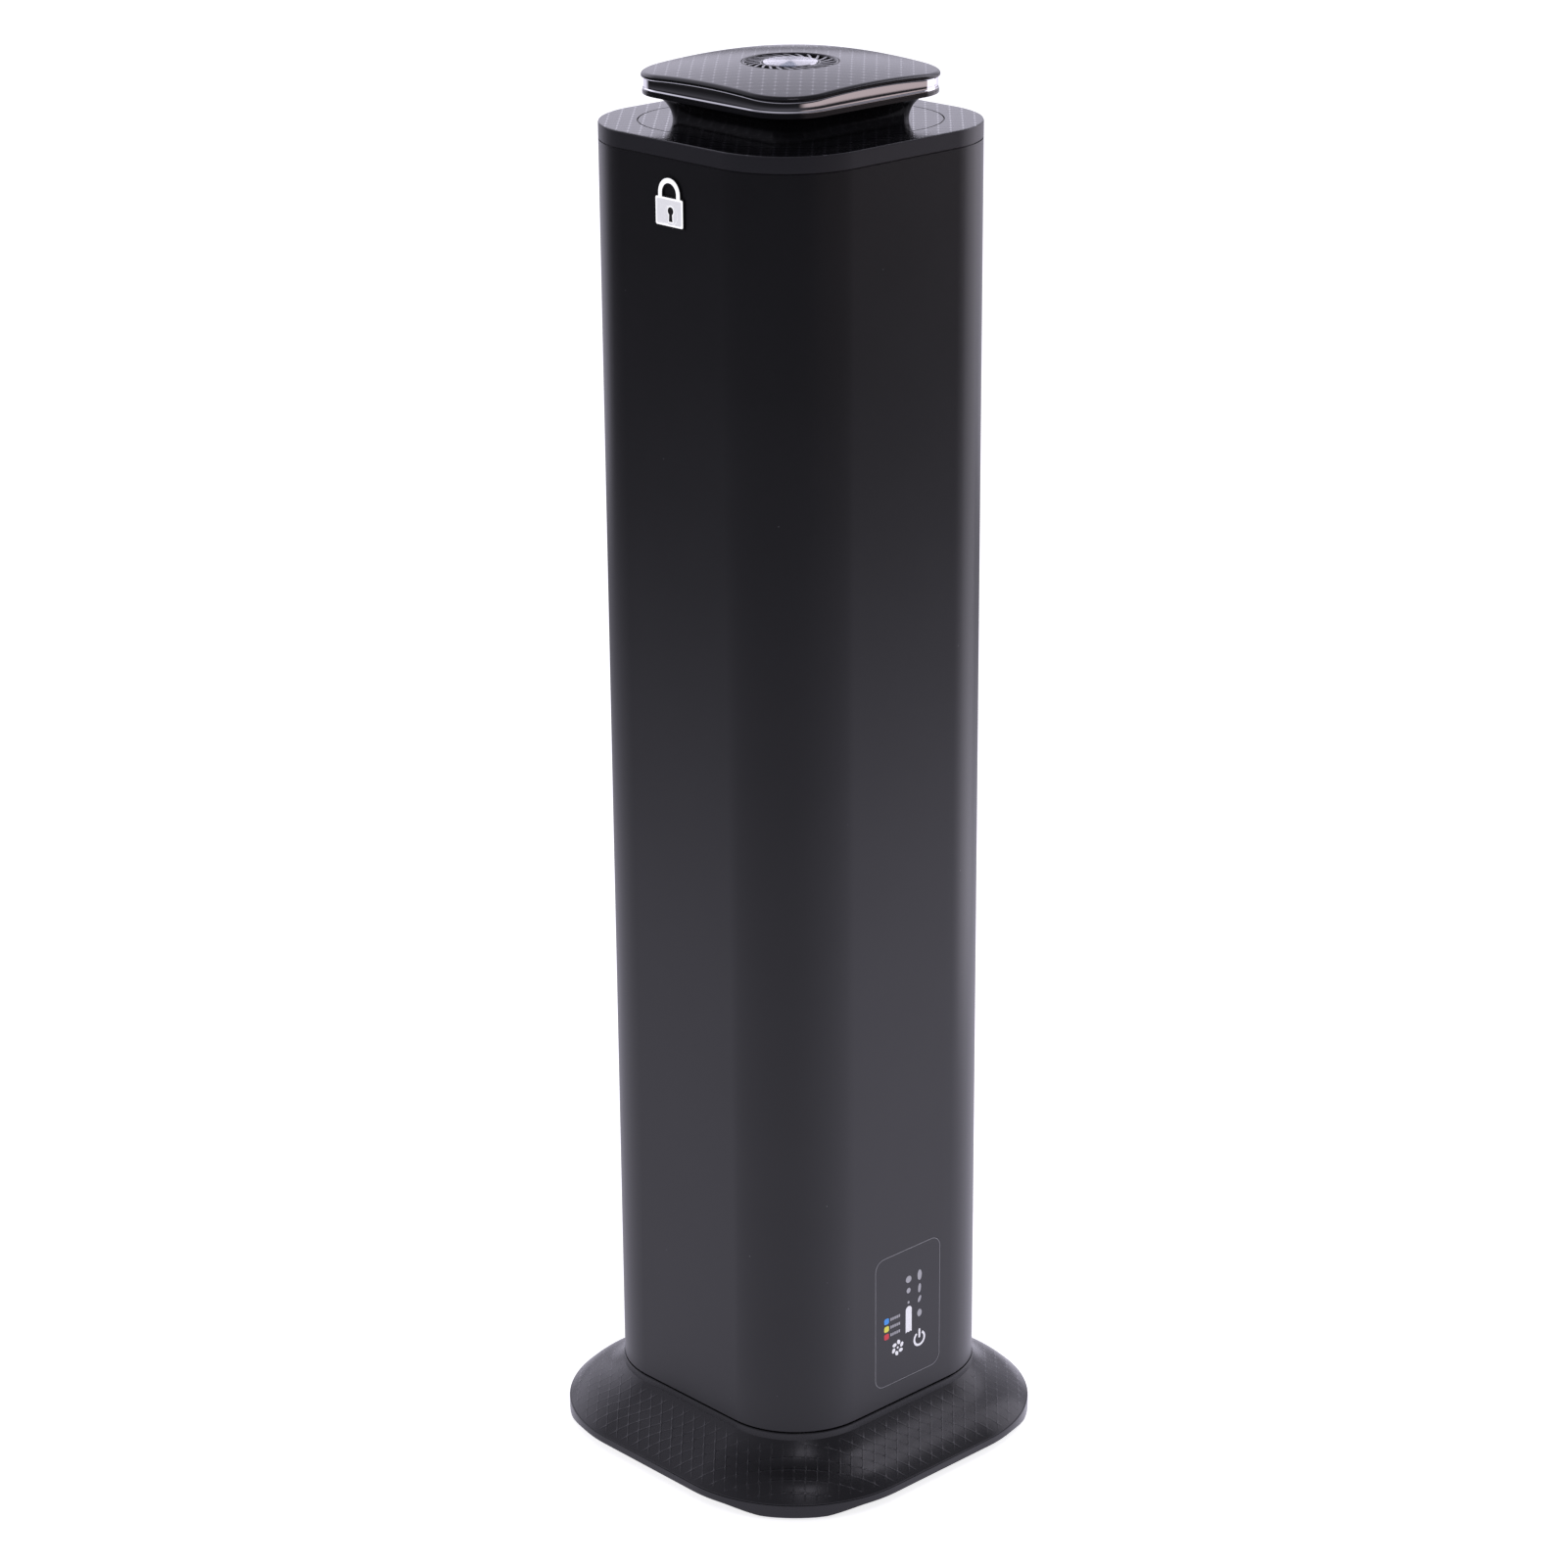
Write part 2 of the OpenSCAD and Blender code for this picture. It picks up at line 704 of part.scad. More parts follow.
module mains_inlet() {
    flange = 1.5;
    color([0.08, 0.08, 0.08]) translate([0, column_half, inlet_z]) difference() {
        union() {
            translate([-inlet_w / 2, -inlet_depth, -inlet_h / 2]) cube([inlet_w, inlet_depth, inlet_h]);
            translate([-inlet_w / 2 - 3, 0, -inlet_h / 2 - 3]) cube([inlet_w + 6, flange, inlet_h + 6]);
        }
        for (s = [-1, 1]) translate([s * 4, -12, 0]) rotate([-90, 0, 0]) cylinder(r = 4, h = 14);
        translate([-4, -12, -4]) cube([8, 14, 8]);
    }
}

module inlet_pins() {
    color([0.8, 0.75, 0.5]) for (s = [-1, 1])
        translate([s * 4, column_half - 12, inlet_z]) rotate([-90, 0, 0]) cylinder(r = 1.2, h = 9);
}

// Leads: mains inlet to power board, motor to power board, and power board to control board.
module wiring() {
    ring_r = housing_r + 8;
    end_x = -ring_r * sin(panel_lead_end);
    end_y = ring_r * cos(panel_lead_end);
    color([0.15, 0.15, 0.15]) {
        translate([0, column_half - 9, 0]) rod(lead_r, inlet_z + inlet_h / 2, power_z - power_h / 2);
        translate([0, motor_radius, lead_z]) rotate([-90, 0, 0])
            cylinder(r = lead_r, h = power_y - board_t - terminal_depth - motor_radius);
        translate([0, 0, panel_lead_z]) {
            rotate([0, 0, 90 + panel_lead_end]) rotate_extrude(angle = 180 - 2 * panel_lead_end)
                translate([ring_r, 0]) circle(lead_r);
            for (y = [end_y, -end_y]) translate([end_x, y, 0]) sphere(lead_r);
            translate([end_x, end_y, 0]) rotate([-90, 0, 0])
                cylinder(r = lead_r, h = power_y - board_t - end_y);
            translate([end_x, -end_y, 0]) rotate([90, 0, 0])
                cylinder(r = lead_r, h = -control_y - board_t - end_y);
        }
    }
}

// ---- Cap and lock ----

module top_cap() {
    edge = 1;
    frame_z = ledge_top - ledge_t;
    color([0.28, 0.28, 0.31]) difference() {
        union() {
            swept(column_c, [[shell_in - slip_gap, cap_z], [corner_radius - 0.8, cap_z],
                [corner_radius - 0.8, cap_z + 0.8], [corner_radius, cap_z + 0.8],
                [corner_radius, top_z - edge], [corner_radius - 0.3 * edge, top_z - 0.3 * edge],
                [corner_radius - edge, top_z], [shell_in - slip_gap - 3, top_z],
                [shell_in - slip_gap - 3, cap_z - 9], [shell_in - slip_gap, cap_z - 9]]);
            slab(column_c, shell_in - slip_gap - 2, frame_z, top_z);
            corners(tie_place) rod(boss_r, cap_z - 9, frame_z + over);
        }
        slab(lid_c, lid_radius + lid_seam, ledge_top, top_z + over);
        slab(lid_c, throat_r, frame_z - over, top_z);
        corners(tie_place) rod(screw_r + run_gap, cap_z - 9 - over, cap_z);
    }
}

module cap_brackets() {
    color([0.6, 0.6, 0.62]) difference() {
        intersection() {
            slab(column_c, spigot_r, cap_z - 19, cap_z - 9);
            corners(tie_place) translate([-8, -8, cap_z - 19]) cube([30, 30, 10]);
        }
        corners(tie_place) rod(screw_r + 0.2, cap_z - 19 - over, cap_z - 9 + over);
    }
}

module cap_screws() {
    color([0.7, 0.7, 0.72]) corners(tie_place) screw_up(cap_z - 19, 16);
}

module lock_barrel() {
    color([0.75, 0.75, 0.77]) translate([0, lock_y, lock_z]) rotate([0, 90, 0]) difference() {
        union() {
            translate([0, 0, -column_half - badge_t]) cylinder(r = plug_radius + 2.2, h = badge_t + 1);
            translate([0, 0, -column_half]) cylinder(r = barrel_radius, h = column_half + barrel_in);
        }
        translate([0, 0, -column_half - badge_t - over])
            cylinder(r = plug_radius + run_gap, h = column_half + badge_t + barrel_in + 2 * over);
    }
}

module lock_nut() {
    color([0.7, 0.7, 0.72]) translate([-inside_half, lock_y, lock_z]) rotate([0, 90, 0]) difference() {
        cylinder(r = nut_r, h = nut_t, $fn = 6);
        translate([0, 0, -over]) cylinder(r = barrel_radius, h = nut_t + 2 * over);
    }
}

// Padlock-shaped badge round the keyhole: a square body with a shackle arch above it.
module lock_badge() {
    body_top = 10;
    arch_z = body_top + shackle_rise;
    color([0.85, 0.85, 0.87]) translate([-column_half, lock_y, lock_z]) rotate([90, 0, -90])
        linear_extrude(badge_t) difference() {
            union() {
                translate([-badge_width / 2, body_top - badge_height]) square([badge_width, badge_height]);
                difference() {
                    union() {
                        translate([0, arch_z]) circle(shackle_r);
                        translate([-shackle_r, body_top - 1]) square([2 * shackle_r, shackle_rise + 1]);
                    }
                    translate([0, arch_z]) circle(shackle_r - shackle_wall);
                    translate([-shackle_r + shackle_wall, body_top])
                        square([2 * (shackle_r - shackle_wall), shackle_rise]);
                }
            }
            circle(plug_radius + 2.3);
        }
}

module lock_plug() {
    color([0.8, 0.8, 0.82]) translate([0, lock_y, lock_z]) rotate([0, 90, 0]) difference() {
        translate([0, 0, -column_half - badge_t]) cylinder(r = plug_radius, h = column_half + badge_t + cam_x - cam_t);
        translate([-3, -0.8, -column_half - badge_t - over]) cube([6, 1.6, 12]);
    }
}

module lock_cam() {
    color([0.6, 0.6, 0.62]) translate([cam_x, lock_y, lock_z]) rotate([0, -90, 0]) {
        cylinder(r = cam_half, h = cam_t);
        translate([0, -cam_half, 0]) cube([cam_reach, 2 * cam_half, cam_t]);
        translate([0, 0, -1.8]) cylinder(r = 3.5, h = 1.8);
    }
}

// ---- Lid, carried parts of the head ----

module lid_plate() {
    edge = 0.5;
    color([0.28, 0.28, 0.31]) difference() {
        union() {
            slab(lid_c, lid_radius, lid_under, top_z - edge);
            slab(lid_c, lid_radius - edge, top_z - edge, top_z);
            swept(lid_c, [[lid_skirt_r - lid_skirt_wall, lid_under - lid_skirt_depth],
                [lid_skirt_r, lid_under - lid_skirt_depth], [lid_skirt_r, lid_under + 0.5],
                [lid_skirt_r - lid_skirt_wall, lid_under + 0.5]]);
        }
        rod(duct_r, lid_under - over, top_z + over);
        corners(head_c) rod(screw_r + 0.2, lid_under - over, top_z + over);
        for (a = [30, 150, 270]) rotate([0, 0, a]) translate([bayonet_r + bayonet_wall + 4, 0, 0])
            rod(screw_r + run_gap, lid_under - over, top_z - 1);
        for (z = [6, 12]) translate([keeper_x - 3, keeper_y0 + keeper_width / 2, lid_under - z])
            rotate([0, 90, 0]) cylinder(r = screw_r + run_gap, h = 4);
    }
}

module lid_gasket() {
    color([0.1, 0.1, 0.1]) swept(lid_c, [[throat_r + 0.6, ledge_top], [lid_radius - 0.4, ledge_top],
        [lid_radius - 0.4, lid_under], [throat_r + 0.6, lid_under]]);
}

// Hook that hangs from the lid. The lock's cam turns over its foot.
module latch_keeper() {
    foot_top = lock_z - cam_half - keeper_play;
    color([0.6, 0.6, 0.62]) difference() {
        translate([keeper_x, keeper_y0, foot_top - keeper_foot]) {
            cube([keeper_t, keeper_width, lid_under - foot_top + keeper_foot]);
            translate([-cam_t - slide_gap - 0.2, 0, 0])
                cube([cam_t + slide_gap + 0.2 + keeper_t, keeper_width, keeper_foot]);
        }
        for (z = [6, 12]) translate([keeper_x - over, keeper_y0 + keeper_width / 2, lid_under - z])
            rotate([0, 90, 0]) cylinder(r = screw_r + 0.2, h = keeper_t + 2 * over);
    }
}

module lid_screws() {
    color([0.7, 0.7, 0.72]) {
        for (z = [6, 12]) translate([keeper_x + keeper_t, keeper_y0 + keeper_width / 2, lid_under - z])
            rotate([0, -90, 0]) {
                cylinder(r = screw_r, h = keeper_t + 2);
                translate([0, 0, -screw_head_t]) cylinder(r = screw_head_r - 0.4, h = screw_head_t);
            }
        for (a = [30, 150, 270]) rotate([0, 0, a]) translate([bayonet_r + bayonet_wall + 4, 0, 0])
            screw_up(lid_under - 3, 4.8);
    }
}

module bayonet_ring() {
    z0 = lug_z - tab_t - slide_gap - 4;
    color([0.2, 0.2, 0.22]) difference() {
        union() {
            tube(bayonet_r + bayonet_wall, bayonet_r, z0, lid_under);
            tube(bayonet_r + bayonet_wall + bayonet_flange, bayonet_r + bayonet_wall - 1, lid_under - 3, lid_under);
            for (a = [90, 210, 330])
                sector(bayonet_r + 1, filter_neck_r + 1, a, tab_angle, lug_z - tab_t - slide_gap, lug_z - slide_gap);
        }
        for (a = [30, 150, 270]) rotate([0, 0, a]) translate([bayonet_r + bayonet_wall + 4, 0, 0])
            rod(screw_r + 0.2, lid_under - 4, lid_under + over);
    }
}

module filter_seal() {
    color([0.12, 0.12, 0.12]) tube(filter_neck_r + 1, duct_r, filter_neck_top + slip_gap, lid_under);
}

// Quarter-ellipse trumpet between the lid and the head.
neck_steps = 12;
function trumpet(a, dr, rise) = [neck_r + dr + neck_inset * (1 - cos(a)), top_z + rise * sin(a)];

module neck() {
    section = concat([for (i = [0:neck_steps]) trumpet(90 * i / neck_steps, 0, neck_height)],
        [for (i = [neck_steps:-1:0]) trumpet(90 * i / neck_steps, i == neck_steps ? 0 : -neck_wall, neck_height + neck_lip)]);
    color([0.1, 0.1, 0.11]) difference() {
        union() {
            swept(head_c, section);
            slab(head_c, neck_r - 1, top_z, top_z + 2);
            corners(head_c) rod(4.5, top_z, top_z + 13);
        }
        rod(duct_r + duct_wall + slip_gap, top_z - over, top_z + 2 + over);
        corners(head_c) rod(screw_r + run_gap, top_z - over, top_z + 12);
    }
}

module head_screws() {
    color([0.7, 0.7, 0.72]) corners(head_c) {
        screw_up(lid_under, lid_plate_t + 10);
        screw_up(tray_z, tray_t + 6);
    }
}

module outlet_duct() {
    color([0.2, 0.2, 0.22]) tube(duct_r + duct_wall, duct_r, top_z, band_z);
}

module head_tray() {
    color([0.1, 0.1, 0.11]) difference() {
        slab(head_c, head_radius - 0.5, tray_z, tray_z + tray_t);
        rod(duct_r + duct_wall + slip_gap, tray_z - over, band_z + over);
        corners(head_c) rod(screw_r + 0.2, tray_z - over, band_z + over);
    }
}

module dome_ball(inset) {
    translate([0, 0, dome_z]) sphere(r = dome_radius - inset, $fn = 200);
}

module chrome_band() {
    r = head_radius - band_inset;
    color([0.85, 0.85, 0.87]) intersection() {
        swept(head_c, [[r - band_wall, band_z], [r, band_z], [r, head_top], [r - band_wall, head_top]]);
        dome_ball(dome_t + 0.1);
    }
}

module dome_plate() {
    color([0.45, 0.44, 0.49]) difference() {
        intersection() {
            union() {
                difference() {
                    slab(head_c, head_radius + 0.5, band_z + 4, head_top + over);
                    dome_ball(dome_t);
                }
                corners(head_c) rod(4, band_z, head_top);
            }
            dome_ball(0);
        }
        rod(grille_radius + slip_gap, band_z, head_top + over);
        corners(head_c) rod(screw_r + run_gap, band_z - over, band_z + 7);
    }
}

module swirl_grille() {
    drop = pow(grille_radius, 2) / (2 * dome_radius);
    rim_z = head_top - drop;
    body_z = rim_z - 5;
    slot_w = 2.4;
    slot_in = disc_radius + 2;
    slot_out = grille_radius - 1.6;
    color([0.35, 0.35, 0.38]) difference() {
        union() {
            rod(grille_radius, body_z, rim_z - 0.6);
            tube(grille_radius, grille_radius - 1, rim_z - 0.6, rim_z);
            rod(grille_radius + 3, body_z - 1, rim_z - dome_t - 0.6);
        }
        rod(disc_radius + 0.6, rim_z - 1.6, rim_z);
        for (k = [0:slot_count - 1]) rotate([0, 0, 360 / slot_count * k])
            translate([(slot_in + slot_out) / 2, 0, body_z - 2]) rotate([0, 0, 38])
                translate([-(slot_out - slot_in) * 0.58, -slot_w / 2, 0])
                    cube([(slot_out - slot_in) * 1.16, slot_w, 8]);
    }
}

module grille_disc() {
    seat = head_top - pow(grille_radius, 2) / (2 * dome_radius) - 1.6;
    color([0.9, 0.9, 0.92]) rotate_extrude() polygon([[0, seat], [disc_radius, seat],
        [disc_radius, seat + 1.2], [disc_radius - 0.5, seat + 1.6], [disc_radius * 0.5, seat + 1.9],
        [2, seat + 2.1], [0, seat + 2.1]]);
}

// ---- Filter cartridge ----

module filter_top_cap() {
    color([0.85, 0.85, 0.85]) {
        tube(filter_r + 1, core_radius, filter_top - end_cap_t, filter_top);
        tube(filter_r + 1, filter_r, filter_top - end_cap_rim, filter_top - end_cap_t + 0.5);
        tube(filter_neck_r, filter_neck_r - filter_neck_wall, filter_top - 0.5, filter_neck_top);
        for (a = [90, 210, 330]) sector(lug_r, filter_neck_r - 1, a, lug_angle, lug_z, lug_z + lug_t);
    }
}

module filter_bottom_cap() {
    color([0.85, 0.85, 0.85]) {
        rod(filter_r + 1, filter_bottom, filter_bottom + end_cap_t);
        tube(filter_r + 1, filter_r, filter_bottom + end_cap_t - 0.5, filter_bottom + end_cap_rim);
    }
}

module filter_cage() {
    rings = 9;
    z0 = filter_bottom + end_cap_t;
    z1 = filter_top - end_cap_t;
    color([0.8, 0.8, 0.8]) {
        for (i = [0:rings - 1]) let (z = z0 + (z1 - z0 - 3) * i / (rings - 1))
            tube(filter_r - 0.2, filter_r - 0.2 - cage_wall, z, z + 3);
        for (a = [0:30:330]) rotate([0, 0, a]) translate([filter_r - 0.25 - cage_wall, -1.5, z0])
            cube([cage_wall - 0.05, 3, z1 - z0]);
    }
}

module pleated_media() {
    r1 = filter_r - cage_wall - 1;
    r0 = r1 - 6;
    color([0.92, 0.92, 0.9]) translate([0, 0, filter_bottom + end_cap_t])
        linear_extrude(filter_length - 2 * end_cap_t) difference() {
            polygon([for (i = [0:2 * pleats - 1]) let (r = i % 2 == 0 ? r1 : r0, a = 180 / pleats * i)
                [r * cos(a), r * sin(a)]]);
            circle(core_radius + 8);
        }
}

module carbon_core() {
    color([0.06, 0.06, 0.06])
        tube(core_radius + 7.5, core_radius, filter_bottom + end_cap_t, filter_top - end_cap_t);
}

base_skirt();
base_plate();
foot_pads();
base_screws();
intake_screen();
air_sensor();
fan_deck();
inlet_bell();
fan_housing();
fan_screws();
motor_bracket();
motor_grommets();
motor_can();
motor_endcap();
stator();
motor_bearings();
partition();
column_shell();
silencer_foam();
filter_guide();
power_board();
board_components();
board_standoffs();
control_board();
status_leds();
control_overlay();
mains_inlet();
inlet_pins();
wiring();
top_cap();
cap_brackets();
cap_screws();
lock_barrel();
lock_nut();
lock_badge();
lid_plate();
lid_gasket();
latch_keeper();
lid_screws();
bayonet_ring();
filter_seal();
neck();
head_screws();
outlet_duct();
head_tray();
chrome_band();
dome_plate();
swirl_grille();
grille_disc();
filter_top_cap();
filter_bottom_cap();
filter_cage();
pleated_media();
carbon_core();
lock_plug();
lock_cam();
impeller();
motor_shaft();
motor_core();
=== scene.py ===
"""Finishes for a tower air purifier, laid out as an add-on: one operator for each piece or
group of like pieces, and one for the stage. Every length is in metres, in the frame's axes:
the touch panel faces -Y, the lock faces -X and the origin is on the floor."""

import json
import math

import bmesh
import bpy
from mathutils import Matrix, Vector

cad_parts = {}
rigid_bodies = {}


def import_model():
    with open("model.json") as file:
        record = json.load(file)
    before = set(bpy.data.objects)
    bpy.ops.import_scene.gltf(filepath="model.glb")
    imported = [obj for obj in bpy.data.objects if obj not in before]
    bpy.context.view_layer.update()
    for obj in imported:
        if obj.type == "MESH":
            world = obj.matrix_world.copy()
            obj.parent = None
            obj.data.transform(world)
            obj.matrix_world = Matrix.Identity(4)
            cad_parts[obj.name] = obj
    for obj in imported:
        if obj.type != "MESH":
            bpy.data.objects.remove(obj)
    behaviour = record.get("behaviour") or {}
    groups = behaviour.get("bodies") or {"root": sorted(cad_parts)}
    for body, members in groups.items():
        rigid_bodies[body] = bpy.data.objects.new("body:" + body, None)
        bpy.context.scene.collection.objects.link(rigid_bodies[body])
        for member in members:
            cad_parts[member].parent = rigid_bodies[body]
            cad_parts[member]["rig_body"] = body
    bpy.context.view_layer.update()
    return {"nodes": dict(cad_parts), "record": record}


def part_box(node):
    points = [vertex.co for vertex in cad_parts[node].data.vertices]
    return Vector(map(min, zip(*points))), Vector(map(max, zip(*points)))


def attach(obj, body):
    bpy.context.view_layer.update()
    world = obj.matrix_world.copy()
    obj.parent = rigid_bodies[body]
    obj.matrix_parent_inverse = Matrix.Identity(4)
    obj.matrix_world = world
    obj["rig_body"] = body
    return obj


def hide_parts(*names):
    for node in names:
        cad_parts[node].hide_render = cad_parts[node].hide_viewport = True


bl_info = {
    "name": "Tower purifier finishes",
    "version": (1, 0, 0),
    "blender": (4, 5, 0),
    "location": "View3D > Sidebar > Purifier",
    "description": "Skins, fittings, prints and studio for a tower air purifier",
    "category": "Object",
}

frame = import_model()

MM = 0.001
COLUMN_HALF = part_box("column_shell")[1].x
CAP_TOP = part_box("top_cap")[1].z
DOME_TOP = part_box("dome_plate")[1].z
HEAD_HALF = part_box("dome_plate")[1].x
BAND_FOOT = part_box("chrome_band")[0].z
GRILLE_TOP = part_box("swirl_grille")[1].z
PANEL_LOW, PANEL_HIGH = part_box("control_overlay")


# ---- Settings that a user would change ----

class PurifierShape(bpy.types.PropertyGroup):
    """Sizes of the pieces that are made here."""
    head_corner: bpy.props.FloatProperty(
        name="Head corner", description="Corner radius of the dome plate in plan",
        default=32.1 * MM, min=0.02, max=0.04, unit="LENGTH")
    dome_radius: bpy.props.FloatProperty(
        name="Dome radius", description="Radius of the ball that the dome is cut from",
        default=660 * MM, min=0.4, max=1.2, unit="LENGTH")
    dome_wall: bpy.props.FloatProperty(
        name="Dome wall", description="Thickness of the dome plate",
        default=2.8 * MM, min=0.001, max=0.004, unit="LENGTH")
    lip_roll: bpy.props.FloatProperty(
        name="Lip roll", description="How far in from the side the dome starts to roll over",
        default=2.6 * MM, min=0.0005, max=0.004, unit="LENGTH")
    lip_drop: bpy.props.FloatProperty(
        name="Lip drop", description="How far down the side the roll over reaches",
        default=1.8 * MM, min=0.0005, max=0.0022, unit="LENGTH")
    band_inset: bpy.props.FloatProperty(
        name="Band inset", description="How far the bright band stands in from the dome's side",
        default=1.5 * MM, min=0.0005, max=0.004, unit="LENGTH")
    band_bulge: bpy.props.FloatProperty(
        name="Band bulge", description="How far the middle of the bright band swells out",
        default=0.07 * MM, min=0, max=0.0004, unit="LENGTH")
    grille_radius: bpy.props.FloatProperty(
        name="Grille radius", description="Outer radius of the outlet grille",
        default=29.7 * MM, min=0.025, max=0.035, unit="LENGTH")
    disc_radius: bpy.props.FloatProperty(
        name="Disc radius", description="Radius of the spun disc in the grille",
        default=17 * MM, min=0.012, max=0.018, unit="LENGTH")
    vane_count: bpy.props.IntProperty(
        name="Vanes", description="Number of vanes round the outlet grille",
        default=24, min=12, max=30)
    vane_sweep: bpy.props.FloatProperty(
        name="Vane sweep", description="Angle that a vane turns through on its way out",
        default=math.radians(19), min=0, max=0.8, unit="ROTATION")
    pleat_count: bpy.props.IntProperty(
        name="Pleats", description="Number of folds in the filter paper",
        default=60, min=30, max=90)


class PurifierFinish(bpy.types.PropertyGroup):
    """Colours and textures of the visible skins."""
    shell_colour: bpy.props.FloatVectorProperty(
        name="Shell", description="Colour of the column's satin paint",
        default=(0.0085, 0.0085, 0.0094), subtype="COLOR", size=3, min=0, max=1)
    gloss_colour: bpy.props.FloatVectorProperty(
        name="Gloss", description="Colour of the glossy plastic",
        default=(0.006, 0.006, 0.007), subtype="COLOR", size=3, min=0, max=1)
    # The lines' lighter colour is painted sheen on the raised lines.
    line_colour: bpy.props.FloatVectorProperty(
        name="Lattice lines", description="Colour of the fine raised lines",
        default=(0.03, 0.03, 0.035), subtype="COLOR", size=3, min=0, max=1)
    lattice_pitch: bpy.props.FloatProperty(
        name="Lattice pitch", description="Distance between the lines of the lattice",
        default=7.5 * MM, min=0.003, max=0.02, unit="LENGTH")
    shell_roughness: bpy.props.FloatProperty(
        name="Shell roughness", description="Roughness of the satin paint",
        default=0.33, min=0, max=1, subtype="FACTOR")


class PurifierStage(bpy.types.PropertyGroup):
    """The floor, the light and the camera."""
    camera_place: bpy.props.FloatVectorProperty(
        name="Camera", description="Where the camera stands",
        default=(-1.7165, -1.8052, 1.361), subtype="TRANSLATION", size=3, unit="LENGTH")
    camera_heading: bpy.props.FloatVectorProperty(
        name="Heading", description="Level direction that the camera looks in",
        default=(0.687, 0.7266, 0), subtype="DIRECTION", size=3)
    camera_pitch: bpy.props.FloatProperty(
        name="Pitch", description="How far the camera looks down",
        default=0.34953, unit="ROTATION")
    camera_roll: bpy.props.FloatProperty(
        name="Roll", description="How far the camera leans",
        default=-0.00717, unit="ROTATION")
    lens: bpy.props.FloatProperty(
        name="Lens", description="Focal length on a 36 mm sensor, in millimetres",
        default=93.89, min=20, max=300)
    light_tint: bpy.props.FloatVectorProperty(
        name="Light tint", description="Colour of the light that falls on the object",
        default=(0.985, 0.955, 1.13), subtype="COLOR", size=3, min=0, max=2)
    floor_light: bpy.props.FloatProperty(
        name="Floor light", description="Brightness of the floor near the object",
        default=1.0, min=0, max=3)
    sky_light: bpy.props.FloatProperty(
        name="Sky light", description="Brightness of the surroundings near the horizon",
        default=1.03, min=0, max=3)
    top_light: bpy.props.FloatProperty(
        name="Top light", description="Power of the softbox overhead, in watts",
        default=2, min=0, max=500)
    strip_light: bpy.props.FloatProperty(
        name="Strip light", description="Power of the tall strip on the right, in watts",
        default=2.2, min=0, max=500)
    side_light: bpy.props.FloatProperty(
        name="Side light", description="Power of the small lamp high on the right, in watts",
        default=0.9, min=0, max=500)


# ---- Node trees ----

class Wire:
    """One output socket. Arithmetic on it adds Math nodes to its tree."""

    def __init__(self, plan, socket):
        self.plan = plan
        self.socket = socket

    def math(self, operation, *others):
        return self.plan.math(operation, self, *others)

    def __add__(self, other):
        return self.plan.math("ADD", self, other)

    def __sub__(self, other):
        return self.plan.math("SUBTRACT", self, other)

    def __mul__(self, other):
        return self.plan.math("MULTIPLY", self, other)

    def __truediv__(self, other):
        return self.plan.math("DIVIDE", self, other)

    def __rsub__(self, other):
        return self.plan.math("SUBTRACT", other, self)

    def __rtruediv__(self, other):
        return self.plan.math("DIVIDE", other, self)

    __radd__ = __add__
    __rmul__ = __mul__

    def fade(self, low, high):
        """Rises smoothly from 0 at low to 1 at high."""
        return self.plan.node("ShaderNodeMapRange", {"interpolation_type": "SMOOTHSTEP"},
                              {"Value": self, "From Min": low, "From Max": high})


class Plan:
    """A node tree under construction."""

    def __init__(self, tree):
        self.tree = tree

    def node(self, kind, settings=None, sockets=None, out=0):
        """Adds a node. Its settings come first, then its sockets' values or links."""
        made = self.tree.nodes.new(kind)
        for key, value in (settings or {}).items():
            if key == "stops":
                ramp = made.color_ramp
                while len(ramp.elements) < len(value):
                    ramp.elements.new(0.5)
                for element, (place, colour) in zip(ramp.elements, value):
                    element.position = place
                    element.color = colour
            else:
                setattr(made, key, value)
        for key, value in (sockets or {}).items():
            if isinstance(value, Wire):
                self.tree.links.new(value.socket, made.inputs[key])
            else:
                made.inputs[key].default_value = value
        if isinstance(out, tuple):
            return tuple(Wire(self, made.outputs[key]) for key in out)
        return Wire(self, made.outputs[out]) if len(made.outputs) else made

    def math(self, operation, *values):
        return self.node("ShaderNodeMath", {"operation": operation}, dict(enumerate(values)))

    def vector(self, operation, *values):
        return self.node("ShaderNodeVectorMath", {"operation": operation}, dict(enumerate(values)))

    def tint(self, factor, first, second):
        """Colour that goes from first to second."""
        return self.node("ShaderNodeMix", {"data_type": "RGBA"},
                         {0: factor, 6: first, 7: second}, out=2)


def rgba(colour, gain=1.0):
    """A colour made lighter or darker, with its alpha."""
    return (colour[0] * gain, colour[1] * gain, colour[2] * gain, 1.0)


